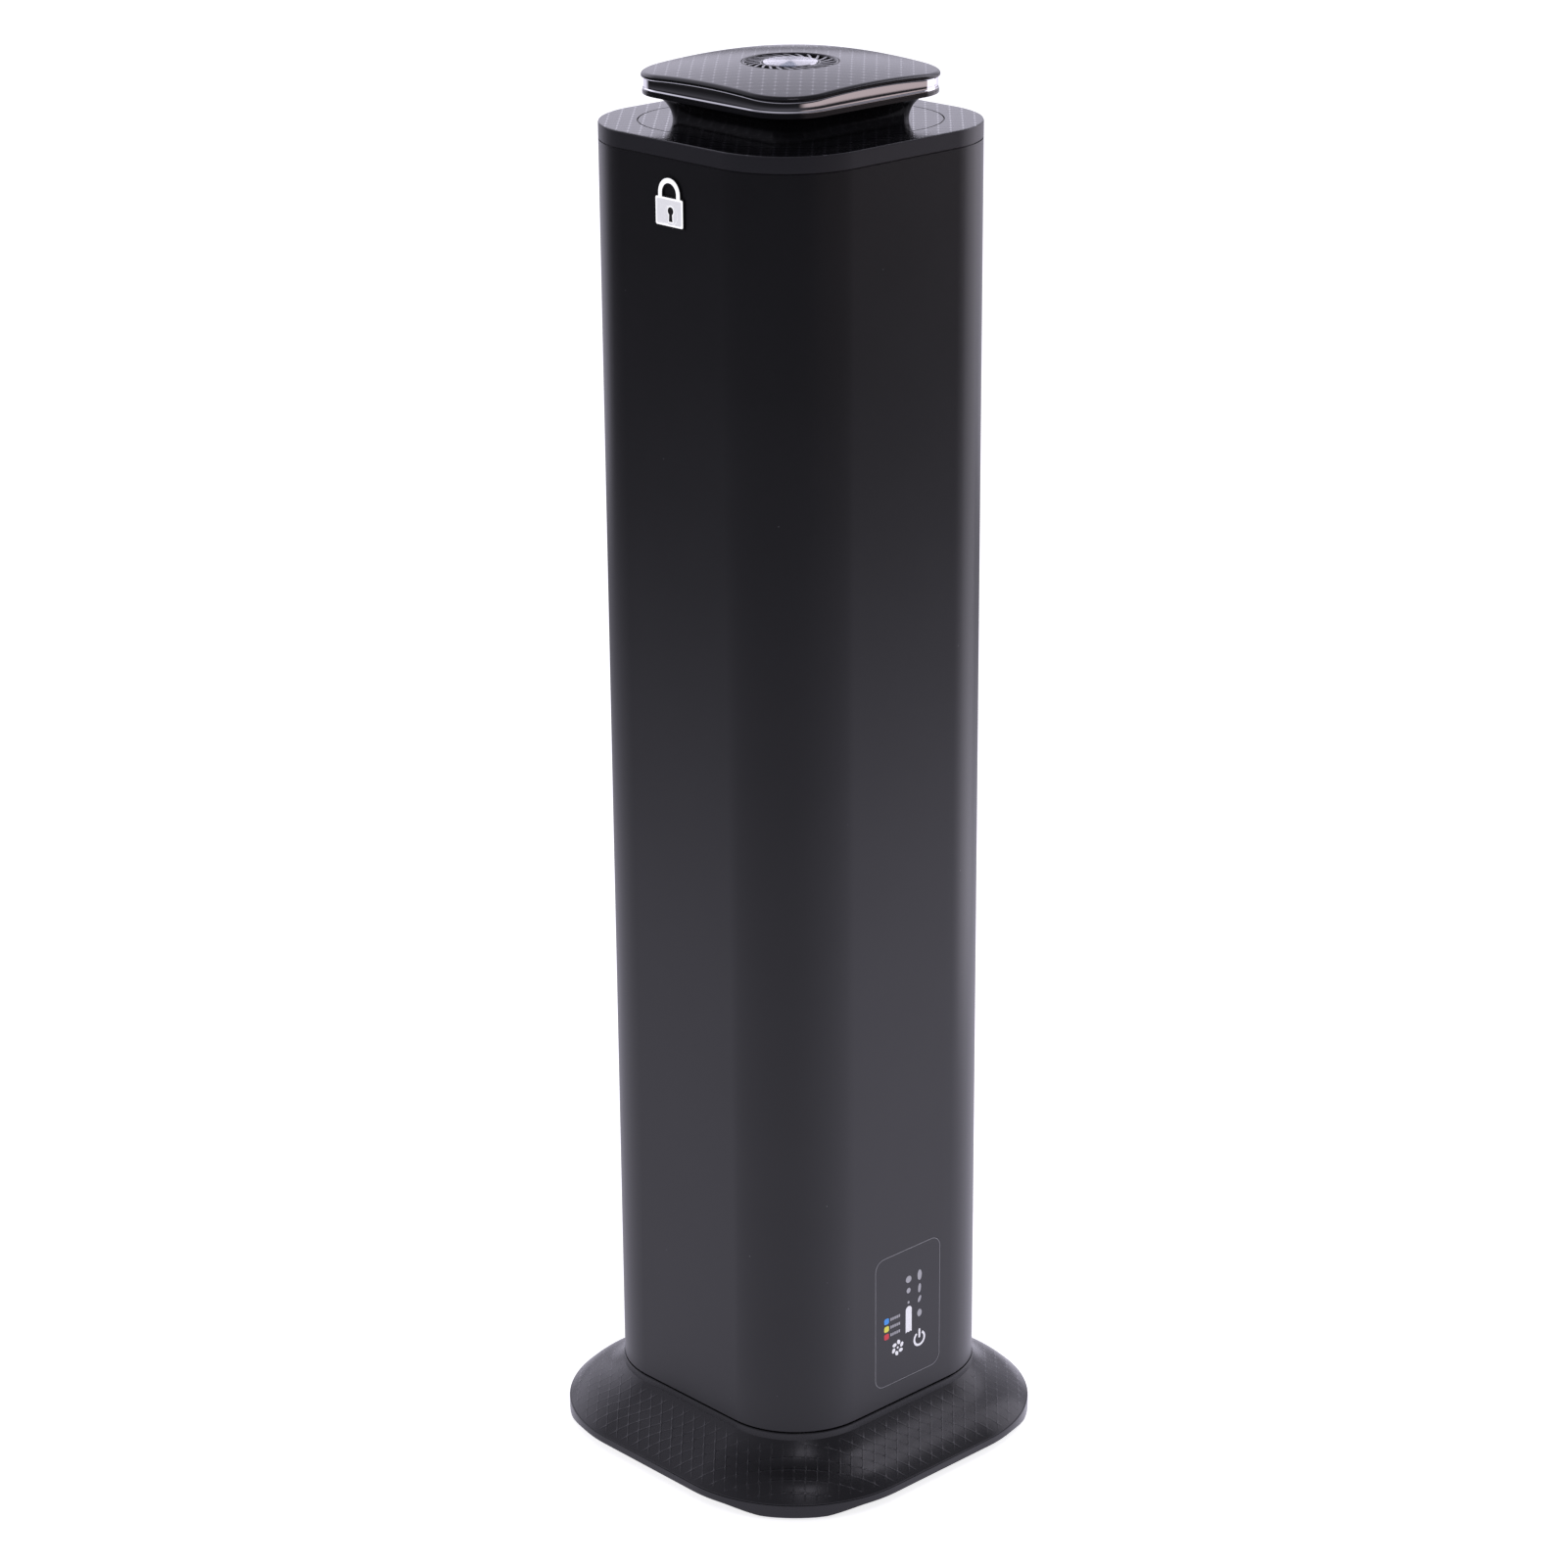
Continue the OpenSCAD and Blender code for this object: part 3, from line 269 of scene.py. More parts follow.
class Paint(Plan):
    """A material whose patterns follow Object coordinates."""

    def __init__(self, name):
        self.material = bpy.data.materials.new(name)
        self.material.use_nodes = True
        super().__init__(self.material.node_tree)
        self.tree.nodes.clear()
        self.place = self.node("ShaderNodeTexCoord", out="Object")
        self.x, self.y, self.z = self.node(
            "ShaderNodeSeparateXYZ", sockets={0: self.place}, out=(0, 1, 2))

    def noise(self, size, detail=3.0, stretch=(1, 1, 1), roughness=0.55):
        """Cloudy noise whose blobs are about size across."""
        return self.node("ShaderNodeTexNoise", sockets={
            "Vector": self.vector("MULTIPLY", self.place, stretch),
            "Scale": 1 / size, "Detail": detail, "Roughness": roughness})

    def cells(self, size, out="Distance"):
        """Distance to the nearest of scattered points, or a colour for each one's cell."""
        return self.node("ShaderNodeTexVoronoi", {"feature": "F1"},
                         {"Vector": self.place, "Scale": 1 / size}, out=out)

    def bump(self, height, depth, strength):
        """Relief that is depth high where height is 1."""
        return self.node("ShaderNodeBump", sockets={
            "Height": height, "Distance": depth, "Strength": strength})

    def square_radius(self, centre):
        """Distance out from the corner centres of a rounded square in plan."""
        dx = self.x.math("ABSOLUTE").math("SUBTRACT", centre).math("MAXIMUM", 0.0)
        dy = self.y.math("ABSOLUTE").math("SUBTRACT", centre).math("MAXIMUM", 0.0)
        return (dx * dx + dy * dy).math("SQRT")

    def finish(self, **sockets):
        """Joins a Principled shader to the output. Keys have _ in place of spaces."""
        shader = self.node("ShaderNodeBsdfPrincipled", sockets={
            key.replace("_", " "): value for key, value in sockets.items()})
        self.node("ShaderNodeOutputMaterial", sockets={"Surface": shader})
        return self.material


# ---- Finishes ----

def satin_paint(name, colour, roughness, fleck=1.0):
    """Satin paint with a fine grain, faint clouds and a few pale flecks."""
    p = Paint(name)
    grain = p.noise(0.55 * MM, 2.0)
    clouds = p.noise(60 * MM, 3.0)
    spot = p.cells(26 * MM)
    dust = spot.math("LESS_THAN", 0.014) * fleck
    shade = p.tint(clouds.fade(0.3, 0.7), rgba(colour, 0.9), rgba(colour, 1.12))
    shade = p.tint(grain.fade(0.5, 0.8) * 0.5, shade, rgba(colour, 1.9))
    shade = p.tint(dust * 0.35, shade, (0.35, 0.35, 0.36, 1))
    return p.finish(Base_Color=shade, Roughness=roughness - 0.05 + grain * 0.1,
                    Normal=p.bump(grain, 0.03 * MM, 0.35))


def lattice_gloss(name, finish, roughness, mask, shine, relief_depth, plain=None):
    """Gloss plastic with fine raised lines that cross at 45 degrees to the sides.
    Where the mask ends, plain gives the satin colour and roughness."""
    side_colour, side_roughness = plain or (finish.gloss_colour, roughness)
    p = Paint(name)
    per_metre = math.sqrt(0.5) / finish.lattice_pitch    # sqrt turns x + y into a distance
    across = ((p.x + p.y) * per_metre).math("PINGPONG", 0.5)
    along = ((p.x - p.y) * per_metre).math("PINGPONG", 0.5)
    on = mask(p)
    wobble = p.noise(1.1 * MM, 2.0)
    line_a = 1 - across.fade(0.035, 0.075)
    line_b = 1 - along.fade(0.035, 0.075)
    dashed_a = line_a * (1 - along.fade(0.08, 0.4) * 0.65)
    dashed_b = line_b * (1 - across.fade(0.08, 0.4) * 0.65)
    lines = dashed_a.math("MAXIMUM", dashed_b) * on
    crossing = (1 - (across * across + along * along).math("SQRT").fade(0.07, 0.14)) * on
    marks = lines * (0.25 + wobble.fade(0.3, 0.7) * 0.75)
    ground = p.tint(on, rgba(side_colour), rgba(finish.gloss_colour))
    # Lines and crossings are tinted lighter, more so with more shine: painted sheen on the raised
    # lines. Their coat and relief below are real.
    shade = p.tint(marks, ground, rgba(finish.line_colour, shine))
    shade = p.tint(crossing * 0.5, shade, rgba(finish.line_colour, 2 * shine))
    relief = lines + crossing * 0.7 + wobble * 0.05
    return p.finish(Base_Color=shade, Coat_Roughness=0.12,
                    Coat_Weight=(marks + crossing * 0.5) * shine,
                    Roughness=on * (roughness - side_roughness) + side_roughness + wobble * 0.05,
                    Normal=p.bump(relief, relief_depth, 0.5))


def moulded(name, colour, roughness=0.5, grain=0.8 * MM, depth=0.04 * MM, spread=0.25):
    """Moulded plastic or rubber with spark-eroded grain."""
    p = Paint(name)
    fine = p.noise(grain, 2.0)
    clouds = p.noise(25 * MM, 3.0)
    shade = p.tint(clouds, rgba(colour, 1 - spread), rgba(colour, 1 + spread))
    return p.finish(Base_Color=shade, Roughness=roughness - 0.06 + fine * 0.12,
                    Normal=p.bump(fine, depth, 0.6))


def worked_metal(name, colour, roughness, stretch, size=1.5 * MM, depth=0.01 * MM):
    """Metal with the drawn, ground or cast marks of its making."""
    p = Paint(name)
    marks = p.noise(size, 4.0, stretch)
    stains = p.noise(30 * MM, 3.0)
    shade = p.tint(stains.fade(0.3, 0.75), rgba(colour), rgba(colour, 0.8))
    return p.finish(Base_Color=shade, Metallic=1.0,
                    Roughness=roughness - 0.08 + marks * 0.16,
                    Normal=p.bump(marks, depth, 0.5))


def spangled_sheet(name, colour):
    """Galvanised sheet steel with its crystals."""
    p = Paint(name)
    crystal = p.cells(7 * MM, out="Color")
    tone = p.node("ShaderNodeSeparateXYZ", sockets={0: crystal})
    shade = p.tint(tone, rgba(colour, 0.75), rgba(colour, 1.15))
    return p.finish(Base_Color=shade, Metallic=1.0, Roughness=0.3 + tone * 0.2,
                    Normal=p.bump(p.noise(1 * MM), 0.01 * MM, 0.4))


def mirror_metal(name, colour, roughness):
    """Bright plating with a faint haze of polishing marks."""
    p = Paint(name)
    haze = p.noise(0.7 * MM, 3.0, (1, 1, 8))
    return p.finish(Base_Color=p.tint(haze, rgba(colour, 0.96), rgba(colour)), Metallic=1.0,
                    Roughness=roughness + haze * 0.03, Normal=p.bump(haze, 0.004 * MM, 0.3))


def spun_metal(name, colour):
    """Metal turned on a lathe: fine rings round the axis that draw light out into wedges, and a
    dark bluish wedge painted into the colour on its front half as a painted reflection.
    """
    p = Paint(name)
    radius = (p.x * p.x + p.y * p.y).math("SQRT")
    rings = (radius * (2 * math.pi / (0.22 * MM))).math("SINE")
    coarse = (radius * (2 * math.pi / (1.7 * MM))).math("SINE")
    turn = p.y.math("ARCTAN2", p.x) + p.noise(9 * MM, 1.0) * 0.2
    # A dark bluish wedge at a fixed bearing, strongest on the half that faces -X and -Y: a painted
    # reflection, not a colour of the metal.
    painted_reflection_wedge = (turn - math.radians(48)).math("COSINE").math("ABSOLUTE").fade(0.9, 0.985)
    near = (0 - (p.x + p.y)).fade(-4 * MM, 9 * MM)
    shade = p.tint(p.noise(3 * MM), rgba(colour, 0.95), rgba(colour, 1.05))
    shade = p.tint(painted_reflection_wedge * (near * 0.75 + 0.1) * radius.fade(1 * MM, 4 * MM), shade,
                   (0.22, 0.27, 0.36, 1))
    return p.finish(Base_Color=shade, Metallic=1.0, Roughness=0.16,
                    Normal=p.bump(rings + coarse * 0.3, 0.03 * MM, 0.55))


def foam_block(name, colour):
    """Open-cell foam."""
    p = Paint(name)
    pores = p.cells(1.6 * MM)
    # The pores are painted darker than the foam between them: painted shade in the open cells.
    shade = p.tint(pores.fade(0.1, 0.6), rgba(colour, 0.3), rgba(colour, 1.5))
    return p.finish(Base_Color=shade, Roughness=0.95, Normal=p.bump(pores, 0.8 * MM, 0.8))


def filter_paper(name):
    """Pleated fibre paper with glue beads round the pack."""
    p = Paint(name)
    fibre = p.noise(0.6 * MM, 5.0, (1, 1, 0.35), 0.7)
    bead = 1 - ((p.z / (25 * MM)).math("PINGPONG", 0.5)).fade(0.03, 0.06)
    shade = p.tint(fibre, (0.62, 0.61, 0.57, 1), (0.86, 0.85, 0.8, 1))
    shade = p.tint(bead * 0.7, shade, (0.78, 0.77, 0.7, 1))
    return p.finish(Base_Color=shade, Roughness=0.9 - bead * 0.3,
                    Normal=p.bump(fibre + bead * 2.0, 0.12 * MM, 0.6))


def carbon_granules(name):
    """A bed of black granules."""
    p = Paint(name)
    grains = p.cells(2.2 * MM)
    # Lighter at the middle of each granule and darker between granules: painted shade in the gaps.
    return p.finish(Base_Color=p.tint(grains, (0.03, 0.03, 0.032, 1), (0.004, 0.004, 0.004, 1)),
                    Roughness=0.55, Normal=p.bump(1 - grains, 1.2 * MM, 0.9))


def circuit_board(name):
    """Green board with copper tracks under the mask and bright pads."""
    p = Paint(name)
    tracks = (p.x / (2.4 * MM) + p.noise(9 * MM, 1.0) * 3).math("PINGPONG", 0.5).fade(0.2, 0.24)
    runs = (p.z / (3.1 * MM) + p.noise(12 * MM, 1.0) * 3).math("PINGPONG", 0.5).fade(0.24, 0.28)
    pads = p.cells(4.5 * MM).math("LESS_THAN", 0.16)
    shade = p.tint(tracks * runs, (0.008, 0.06, 0.025, 1), (0.015, 0.13, 0.05, 1))
    shade = p.tint(pads, shade, (0.62, 0.6, 0.52, 1))
    return p.finish(Base_Color=shade, Roughness=0.32, Metallic=pads * 0.9,
                    Normal=p.bump(tracks * runs + pads, 0.05 * MM, 0.6))


def wound_stator(name):
    """Copper windings over laminated iron."""
    p = Paint(name)
    turns = (p.z / (0.9 * MM)).math("PINGPONG", 0.5)
    # Darker copper in the grooves between the turns: painted shade.
    shade = p.tint(turns.fade(0.1, 0.4), (0.1, 0.03, 0.012, 1), (0.55, 0.24, 0.1, 1))
    return p.finish(Base_Color=shade, Metallic=0.8, Roughness=0.35,
                    Normal=p.bump(turns, 0.4 * MM, 0.8))


def printed(name, colour, glow=0.0):
    """Screen-printed ink, slightly uneven, that gives off light of strength glow. On the badge, the
    lock barrel, the plug face and the panel's white and grey marks and outline, this glow is
    painted light that makes them read bright.
    """
    p = Paint(name)
    patches = p.noise(0.9 * MM, 2.0)
    shade = p.tint(patches, rgba(colour, 0.86), rgba(colour))
    return p.finish(Base_Color=shade, Roughness=0.42 + patches * 0.1,
                    Emission_Color=shade, Emission_Strength=glow)


def cap_mask(p):
    """Only the flat top of the cap and the lid plate has the lattice."""
    return p.z.fade(CAP_TOP - 0.5 * MM, CAP_TOP - 0.2 * MM)


def dome_mask(p):
    """The lattice stops short of the dome's rolled lip and of the grille."""
    shape = bpy.context.scene.purifier_shape
    centre = HEAD_HALF - shape.head_corner
    edge = p.square_radius(centre)
    inner = (p.x * p.x + p.y * p.y).math("SQRT")
    return ((1 - edge.fade(shape.head_corner - 2.6 * MM, shape.head_corner - 2.0 * MM))
            * inner.fade(shape.grille_radius + 1.2 * MM, shape.grille_radius + 1.8 * MM)
            * p.z.fade(DOME_TOP - 22 * MM, DOME_TOP - 21 * MM))


def base_mask(p):
    """Only the slope of the base has the lattice."""
    return p.z.fade(12.5 * MM, 14 * MM) * (1 - p.z.fade(34 * MM, 37 * MM))


def finish_makers():
    """How each material slot of the record is made."""
    finish = bpy.context.scene.purifier_finish
    steel = (0.58, 0.58, 0.6)
    return {
        "satin_black_shell": lambda n: satin_paint(n, finish.shell_colour, finish.shell_roughness),
        "patterned_gloss": lambda n: lattice_gloss(
            n, finish, 0.12, cap_mask, 1.0, 0.05 * MM, ((0.027, 0.027, 0.03), 0.36)),
        "dome_gloss": lambda n: lattice_gloss(n, finish, 0.14, dome_mask, 0.6, 0.03 * MM),
        "base_gloss": lambda n: lattice_gloss(n, finish, 0.24, base_mask, 0.2, 0.26 * MM),
        "gloss_black": lambda n: moulded(n, (0.017, 0.017, 0.019), 0.14, 2 * MM, 0.006 * MM),
        "chrome": lambda n: mirror_metal(n, (0.84, 0.84, 0.86), 0.03),
        "spun_steel": lambda n: spun_metal(n, (0.9, 0.9, 0.93)),
        "grille_grey": lambda n: moulded(n, (0.02, 0.02, 0.023), 0.15, 0.8 * MM, 0.01 * MM),
        "inner_black": lambda n: moulded(n, (0.012, 0.012, 0.013), 0.5),
        "rubber_black": lambda n: moulded(n, (0.008, 0.008, 0.008), 0.85, 1.2 * MM, 0.08 * MM),
        "steel_screws": lambda n: worked_metal(n, steel, 0.3, (1, 1, 1)),
        "sheet_steel": lambda n: spangled_sheet(n, (0.5, 0.51, 0.53)),
        "motor_metal": lambda n: worked_metal(n, (0.55, 0.56, 0.58), 0.42, (1, 1, 1), 1.2 * MM,
                                              0.06 * MM),
        "ground_steel": lambda n: worked_metal(n, (0.62, 0.62, 0.64), 0.22, (1, 1, 12)),
        "stator_iron": wound_stator,
        "foam": lambda n: foam_block(n, (0.035, 0.035, 0.038)),
        "circuit_board": circuit_board,
        "component_black": lambda n: moulded(n, (0.009, 0.009, 0.01), 0.45),
        "lamp": lambda n: printed(n, (0.7, 0.75, 0.8), 0.3),
        "touch_overlay": lambda n: satin_paint(n, (0.0105, 0.0105, 0.0122), 0.33, 0.0),
        "contact_brass": lambda n: worked_metal(n, (0.7, 0.5, 0.22), 0.25, (1, 8, 1)),
        "sensor_plastic": lambda n: moulded(n, (0.5, 0.5, 0.47), 0.45),
        "lock_chrome": lambda n: mirror_metal(n, (0.62, 0.63, 0.66), 0.16),
        # The silver's glow is painted light: the badge, the lock barrel and the plug face give off
        # light though they are no lamp.
        "badge_silver": lambda n: printed(n, (0.72, 0.72, 0.74), 0.72),
        "filter_plastic": lambda n: moulded(n, (0.6, 0.6, 0.58), 0.42),
        "filter_paper": filter_paper,
        "carbon": carbon_granules,
        # The badge white's glow is painted light.
        "badge_white": lambda n: printed(n, (0.9, 0.9, 0.9), 0.9),
        "badge_outline": lambda n: moulded(n, (0.004, 0.004, 0.004), 0.4),
        # The near-black finish of the grille's vanes and slot liners is painted shade in the slots;
        # the pale grey finish of the vanes' tops is a painted highlight.
        "slot_black": lambda n: moulded(n, (0.003, 0.003, 0.003), 0.7),
        "vane_edge": lambda n: moulded(n, (0.42, 0.42, 0.44), 0.25),
        # The keyhole's near-black finish is painted shade standing in for the opening.
        "keyhole_black": lambda n: moulded(n, (0.002, 0.002, 0.002), 0.6),
        # The glow of the white and grey prints is painted light.
        "print_white": lambda n: printed(n, (0.85, 0.85, 0.88), 0.4),
        "print_grey": lambda n: printed(n, (0.5, 0.5, 0.52), 0.12),
        "print_blue": lambda n: printed(n, (0.05, 0.3, 0.8), 0.35),
        "print_yellow": lambda n: printed(n, (0.75, 0.7, 0.08), 0.35),
        "print_red": lambda n: printed(n, (0.7, 0.03, 0.05), 0.25),
        # The panel line's glow is painted light.
        "panel_line": lambda n: printed(n, (0.3, 0.3, 0.31), 0.1),
    }


def finish_named(name):
    """The material of that name, made when it is first asked for."""
    own = "finish_" + name
    return bpy.data.materials.get(own) or finish_makers()[name](own)


# ---- Meshes ----

def body_of(node):
    """The body that a node rides on."""
    return frame["nodes"][node]["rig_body"]


def slot_of(node):
    """The material slot that the record gives a node."""
    for part in frame["record"]["subparts"]:
        if part["node"] == node:
            return part["material_slot"]
    raise ValueError(f"the record has no subpart {node}")


def set_down(name, mesh, body, finishes, stands_for=(), smooth=35):
    """Makes the piece, shades it smooth up to an angle, hangs it on its body and hides the nodes
    that it stands for.
    """
    for finish in finishes:
        mesh.materials.append(finish_named(finish))
    mesh.shade_smooth()
    mesh.set_sharp_from_angle(angle=math.radians(smooth))
    piece = bpy.data.objects.new(name, mesh)
    bpy.context.scene.collection.objects.link(piece)
    weigh = piece.modifiers.new("weigh", "WEIGHTED_NORMAL")
    weigh.keep_sharp = True
    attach(piece, body)
    if stands_for:
        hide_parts(*stands_for)
    return piece


def skin_of(node, finish=None, smooth=35):
    """A merged copy of a node's mesh, shaded smooth, that stands for the node."""
    source = frame["nodes"][node].data
    shell = bmesh.new()
    shell.from_mesh(source)
    bmesh.ops.remove_doubles(shell, verts=shell.verts, dist=1e-6)
    bmesh.ops.dissolve_degenerate(shell, edges=shell.edges, dist=1e-7)
    verts = [v.co[:] for v in shell.verts]
    shell.verts.index_update()
    faces = [[v.index for v in face.verts] for face in shell.faces]
    shell.free()
    mesh = bpy.data.meshes.new(node + "_skin")
    mesh.from_pydata(verts, [], faces)
    return set_down(node + "_skin", mesh, body_of(node),
                    [finish or slot_of(node)], (node,), smooth)


def rounded_ring(half, corner, height, arc=18, side=10):
    """Points of a rounded square. height is a number, or a rule of x and y."""
    centre = half - corner
    flat = []
    for quarter in range(4):
        turn = Matrix.Rotation(quarter * math.pi / 2, 2)
        for i in range(arc + 1):
            angle = math.pi / 2 * i / arc
            flat.append(turn @ Vector((centre + corner * math.cos(angle),
                                       centre + corner * math.sin(angle))))
        for i in range(1, side):
            flat.append(turn @ Vector((centre - 2 * centre * i / side, half)))
    return [(p.x, p.y, height(p.x, p.y) if callable(height) else height) for p in flat]


def round_ring(radius, height, guide):
    """Points of a circle at the bearings of the guide's points."""
    ring = []
    for x, y, _ in guide:
        reach = math.hypot(x, y)
        u, v = x / reach * radius, y / reach * radius
        ring.append((u, v, height(u, v) if callable(height) else height))
    return ring


def joined_rings(name, rings):
    """A closed wall whose section runs through the rings and back to the first."""
    count = len(rings[0])
    mesh = bpy.data.meshes.new(name)
    shell = bmesh.new()
    rows = [[shell.verts.new(p) for p in ring] for ring in rings]
    for i, row in enumerate(rows):
        after = rows[(i + 1) % len(rows)]
        for j in range(count):
            k = (j + 1) % count
            shell.faces.new((row[j], row[k], after[k], after[j]))
    bmesh.ops.recalc_face_normals(shell, faces=shell.faces)
    shell.to_mesh(mesh)
    shell.free()
    return mesh


def turned(name, profile, steps=96):
    """A solid of revolution round Z. The profile starts and ends on the axis, or closes."""
    mesh = bpy.data.meshes.new(name)
    shell = bmesh.new()
    rows = []
    for r, z in profile:
        if r < 1e-7:
            rows.append([shell.verts.new((0, 0, z))])
        else:
            rows.append([shell.verts.new((r * math.cos(2 * math.pi * k / steps),
                                          r * math.sin(2 * math.pi * k / steps), z))
                         for k in range(steps)])
    pairs = list(zip(rows, rows[1:]))
    if len(rows[0]) > 1:
        pairs.append((rows[-1], rows[0]))
    for a, b in pairs:
        for k in range(steps):
            n = (k + 1) % steps
            corners = ([a[0]] if len(a) == 1 else [a[k], a[n]]) + (
                [b[0]] if len(b) == 1 else [b[n], b[k]])
            shell.faces.new(corners)
    bmesh.ops.recalc_face_normals(shell, faces=shell.faces)
    shell.to_mesh(mesh)
    shell.free()
    return mesh


class Plates:
    """Flat prisms on an upright face. Points are (across, up) on the face."""

    def __init__(self, to_space):
        self.shell = bmesh.new()
        self.to_space = to_space

    def add(self, outline, low, high, finish=0):
        """A prism from low to high off the face, with the finish of that number."""
        bottom = [self.shell.verts.new(self.to_space(u, v, low)) for u, v in outline]
        top = [self.shell.verts.new(self.to_space(u, v, high)) for u, v in outline]
        count = len(outline)
        faces = [self.shell.faces.new(top), self.shell.faces.new(list(reversed(bottom)))]
        for i in range(count):
            k = (i + 1) % count
            faces.append(self.shell.faces.new((bottom[i], bottom[k], top[k], top[i])))
        for face in faces:
            face.material_index = finish
        bmesh.ops.recalc_face_normals(self.shell, faces=faces)

    def mesh(self, name):
        """All the prisms as one mesh."""
        bmesh.ops.triangulate(self.shell, faces=[f for f in self.shell.faces if len(f.verts) > 4])
        mesh = bpy.data.meshes.new(name)
        self.shell.to_mesh(mesh)
        self.shell.free()
        return mesh


def oval(u, v, wide, tall, steps=20, lean=0.0):
    """Ellipse round (u, v), turned by lean."""
    points = []
    for i in range(steps):
        angle = 2 * math.pi * i / steps
        a, b = wide / 2 * math.cos(angle), tall / 2 * math.sin(angle)
        points.append((u + a * math.cos(lean) - b * math.sin(lean),
                       v + a * math.sin(lean) + b * math.cos(lean)))
    return points


def soft_box(u, v, wide, tall, corner, steps=5):
    """Rounded rectangle round (u, v)."""
    points = []
    for quarter, (su, sv) in enumerate(((1, 1), (-1, 1), (-1, -1), (1, -1))):
        cu, cv = u + su * (wide / 2 - corner), v + sv * (tall / 2 - corner)
        for i in range(steps + 1):
            angle = math.pi / 2 * (quarter + i / steps)
            points.append((cu + corner * math.cos(angle), cv + corner * math.sin(angle)))
    return points


def arc(u, v, radius, start, end, steps=28):
    """Points of a circle round (u, v) from one angle to another."""
    angles = [start + (end - start) * i / steps for i in range(steps + 1)]
    return [(u + radius * math.cos(a), v + radius * math.sin(a)) for a in angles]


def bow(u, v, outer, inner, start, end, steps=28):
    """Piece of a flat ring from one angle to another."""
    return arc(u, v, outer, start, end, steps) + arc(u, v, inner, end, start, steps)


# ---- Geometry Nodes ----

def grown(name, tree, values, body, stands_for=(), smooth=35):
    """A piece made by a Geometry Nodes tree and turned to a plain mesh."""
    piece = bpy.data.objects.new(name, bpy.data.meshes.new(name + "_start"))
    bpy.context.scene.collection.objects.link(piece)
    maker = piece.modifiers.new("grow", "NODES")
    maker.node_group = tree
    for item in tree.interface.items_tree:
        if item.item_type == "SOCKET" and item.in_out == "INPUT" and item.name in values:
            maker[item.identifier] = values[item.name]
    graph = bpy.context.evaluated_depsgraph_get()
    mesh = bpy.data.meshes.new_from_object(piece.evaluated_get(graph), depsgraph=graph)
    if not mesh.polygons:
        raise RuntimeError(f"{name} grew no faces")
    piece.modifiers.remove(maker)
    bpy.data.objects.remove(piece)
    mesh.name = name
    return set_down(name, mesh, body, [], stands_for, smooth)


def new_tree(name, inputs):
    """A Geometry Nodes tree with named inputs, as (plan, {name: wire})."""
    tree = bpy.data.node_groups.new(name, "GeometryNodeTree")
    tree.interface.new_socket(name="Geometry", in_out="OUTPUT", socket_type="NodeSocketGeometry")
    for label, (kind, value) in inputs.items():
        socket = tree.interface.new_socket(name=label, in_out="INPUT", socket_type=kind)
        socket.default_value = value
    plan = Plan(tree)
    wires = plan.node("NodeGroupInput", out=tuple(inputs))
    return plan, dict(zip(inputs, wires))


def close_tree(plan, shape, finish):
    """Ends the tree in Realize Instances and Set Material."""
    real = plan.node("GeometryNodeRealizeInstances", sockets={0: shape})
    painted = plan.node("GeometryNodeSetMaterial",
                        sockets={"Geometry": real, "Material": finish_named(finish)})
    plan.node("NodeGroupOutput", sockets={0: painted})
    return plan.tree


def point_on(plan, radius, angle, height=0.0):
    """A point at a radius and an angle round Z."""
    return plan.node("ShaderNodeCombineXYZ", sockets={
        0: plan.math("COSINE", angle) * radius, 1: plan.math("SINE", angle) * radius, 2: height})


def round_the_axis(plan, shape, count, first=0.0, radius=0.0, height=0.0):
    """Copies of a shape at equal angles round Z, each turned to its own angle."""
    angle = plan.node("GeometryNodeInputIndex") * (2 * math.pi) / count + first
    points = plan.node("GeometryNodePoints", sockets={
        "Count": count, "Position": point_on(plan, radius, angle, height)})
    turn = plan.node("ShaderNodeCombineXYZ", sockets={2: angle})
    return plan.node("GeometryNodeInstanceOnPoints", sockets={
        "Points": points, "Instance": shape, "Rotation": turn})


def vane_tree(finish):
    """Curved vanes between a hub and a rim."""
    number, length = "NodeSocketInt", "NodeSocketFloat"
    plan, given = new_tree("swirl_vanes", {
        "Count": (number, 24), "Inner Radius": (length, 0.018), "Outer Radius": (length, 0.028),
        "Sweep": (length, 0.33), "Width": (length, 0.003), "Depth": (length, 0.004),
        "Top": (length, 0.9)})
    inner, outer, sweep = given["Inner Radius"], given["Outer Radius"], given["Sweep"]
    path = plan.node("GeometryNodeCurveQuadraticBezier", sockets={
        "Resolution": 8, "Start": point_on(plan, inner, sweep * -0.5),
        "Middle": point_on(plan, (inner + outer) * 0.48, sweep * -0.12),
        "End": point_on(plan, outer, sweep * 0.5)})
    section = plan.node("GeometryNodeCurvePrimitiveQuadrilateral", {"mode": "RECTANGLE"}, {
        "Width": given["Width"], "Height": given["Depth"]})
    soft = plan.node("GeometryNodeFilletCurve", sockets={"Curve": section, "Radius": 0.00012})
    vane = plan.node("GeometryNodeCurveToMesh", sockets={
        "Curve": path, "Profile Curve": soft, "Fill Caps": True})
    return close_tree(plan, round_the_axis(
        plan, vane, given["Count"], 0.0, 0.0, given["Top"] - given["Depth"] / 2), finish)


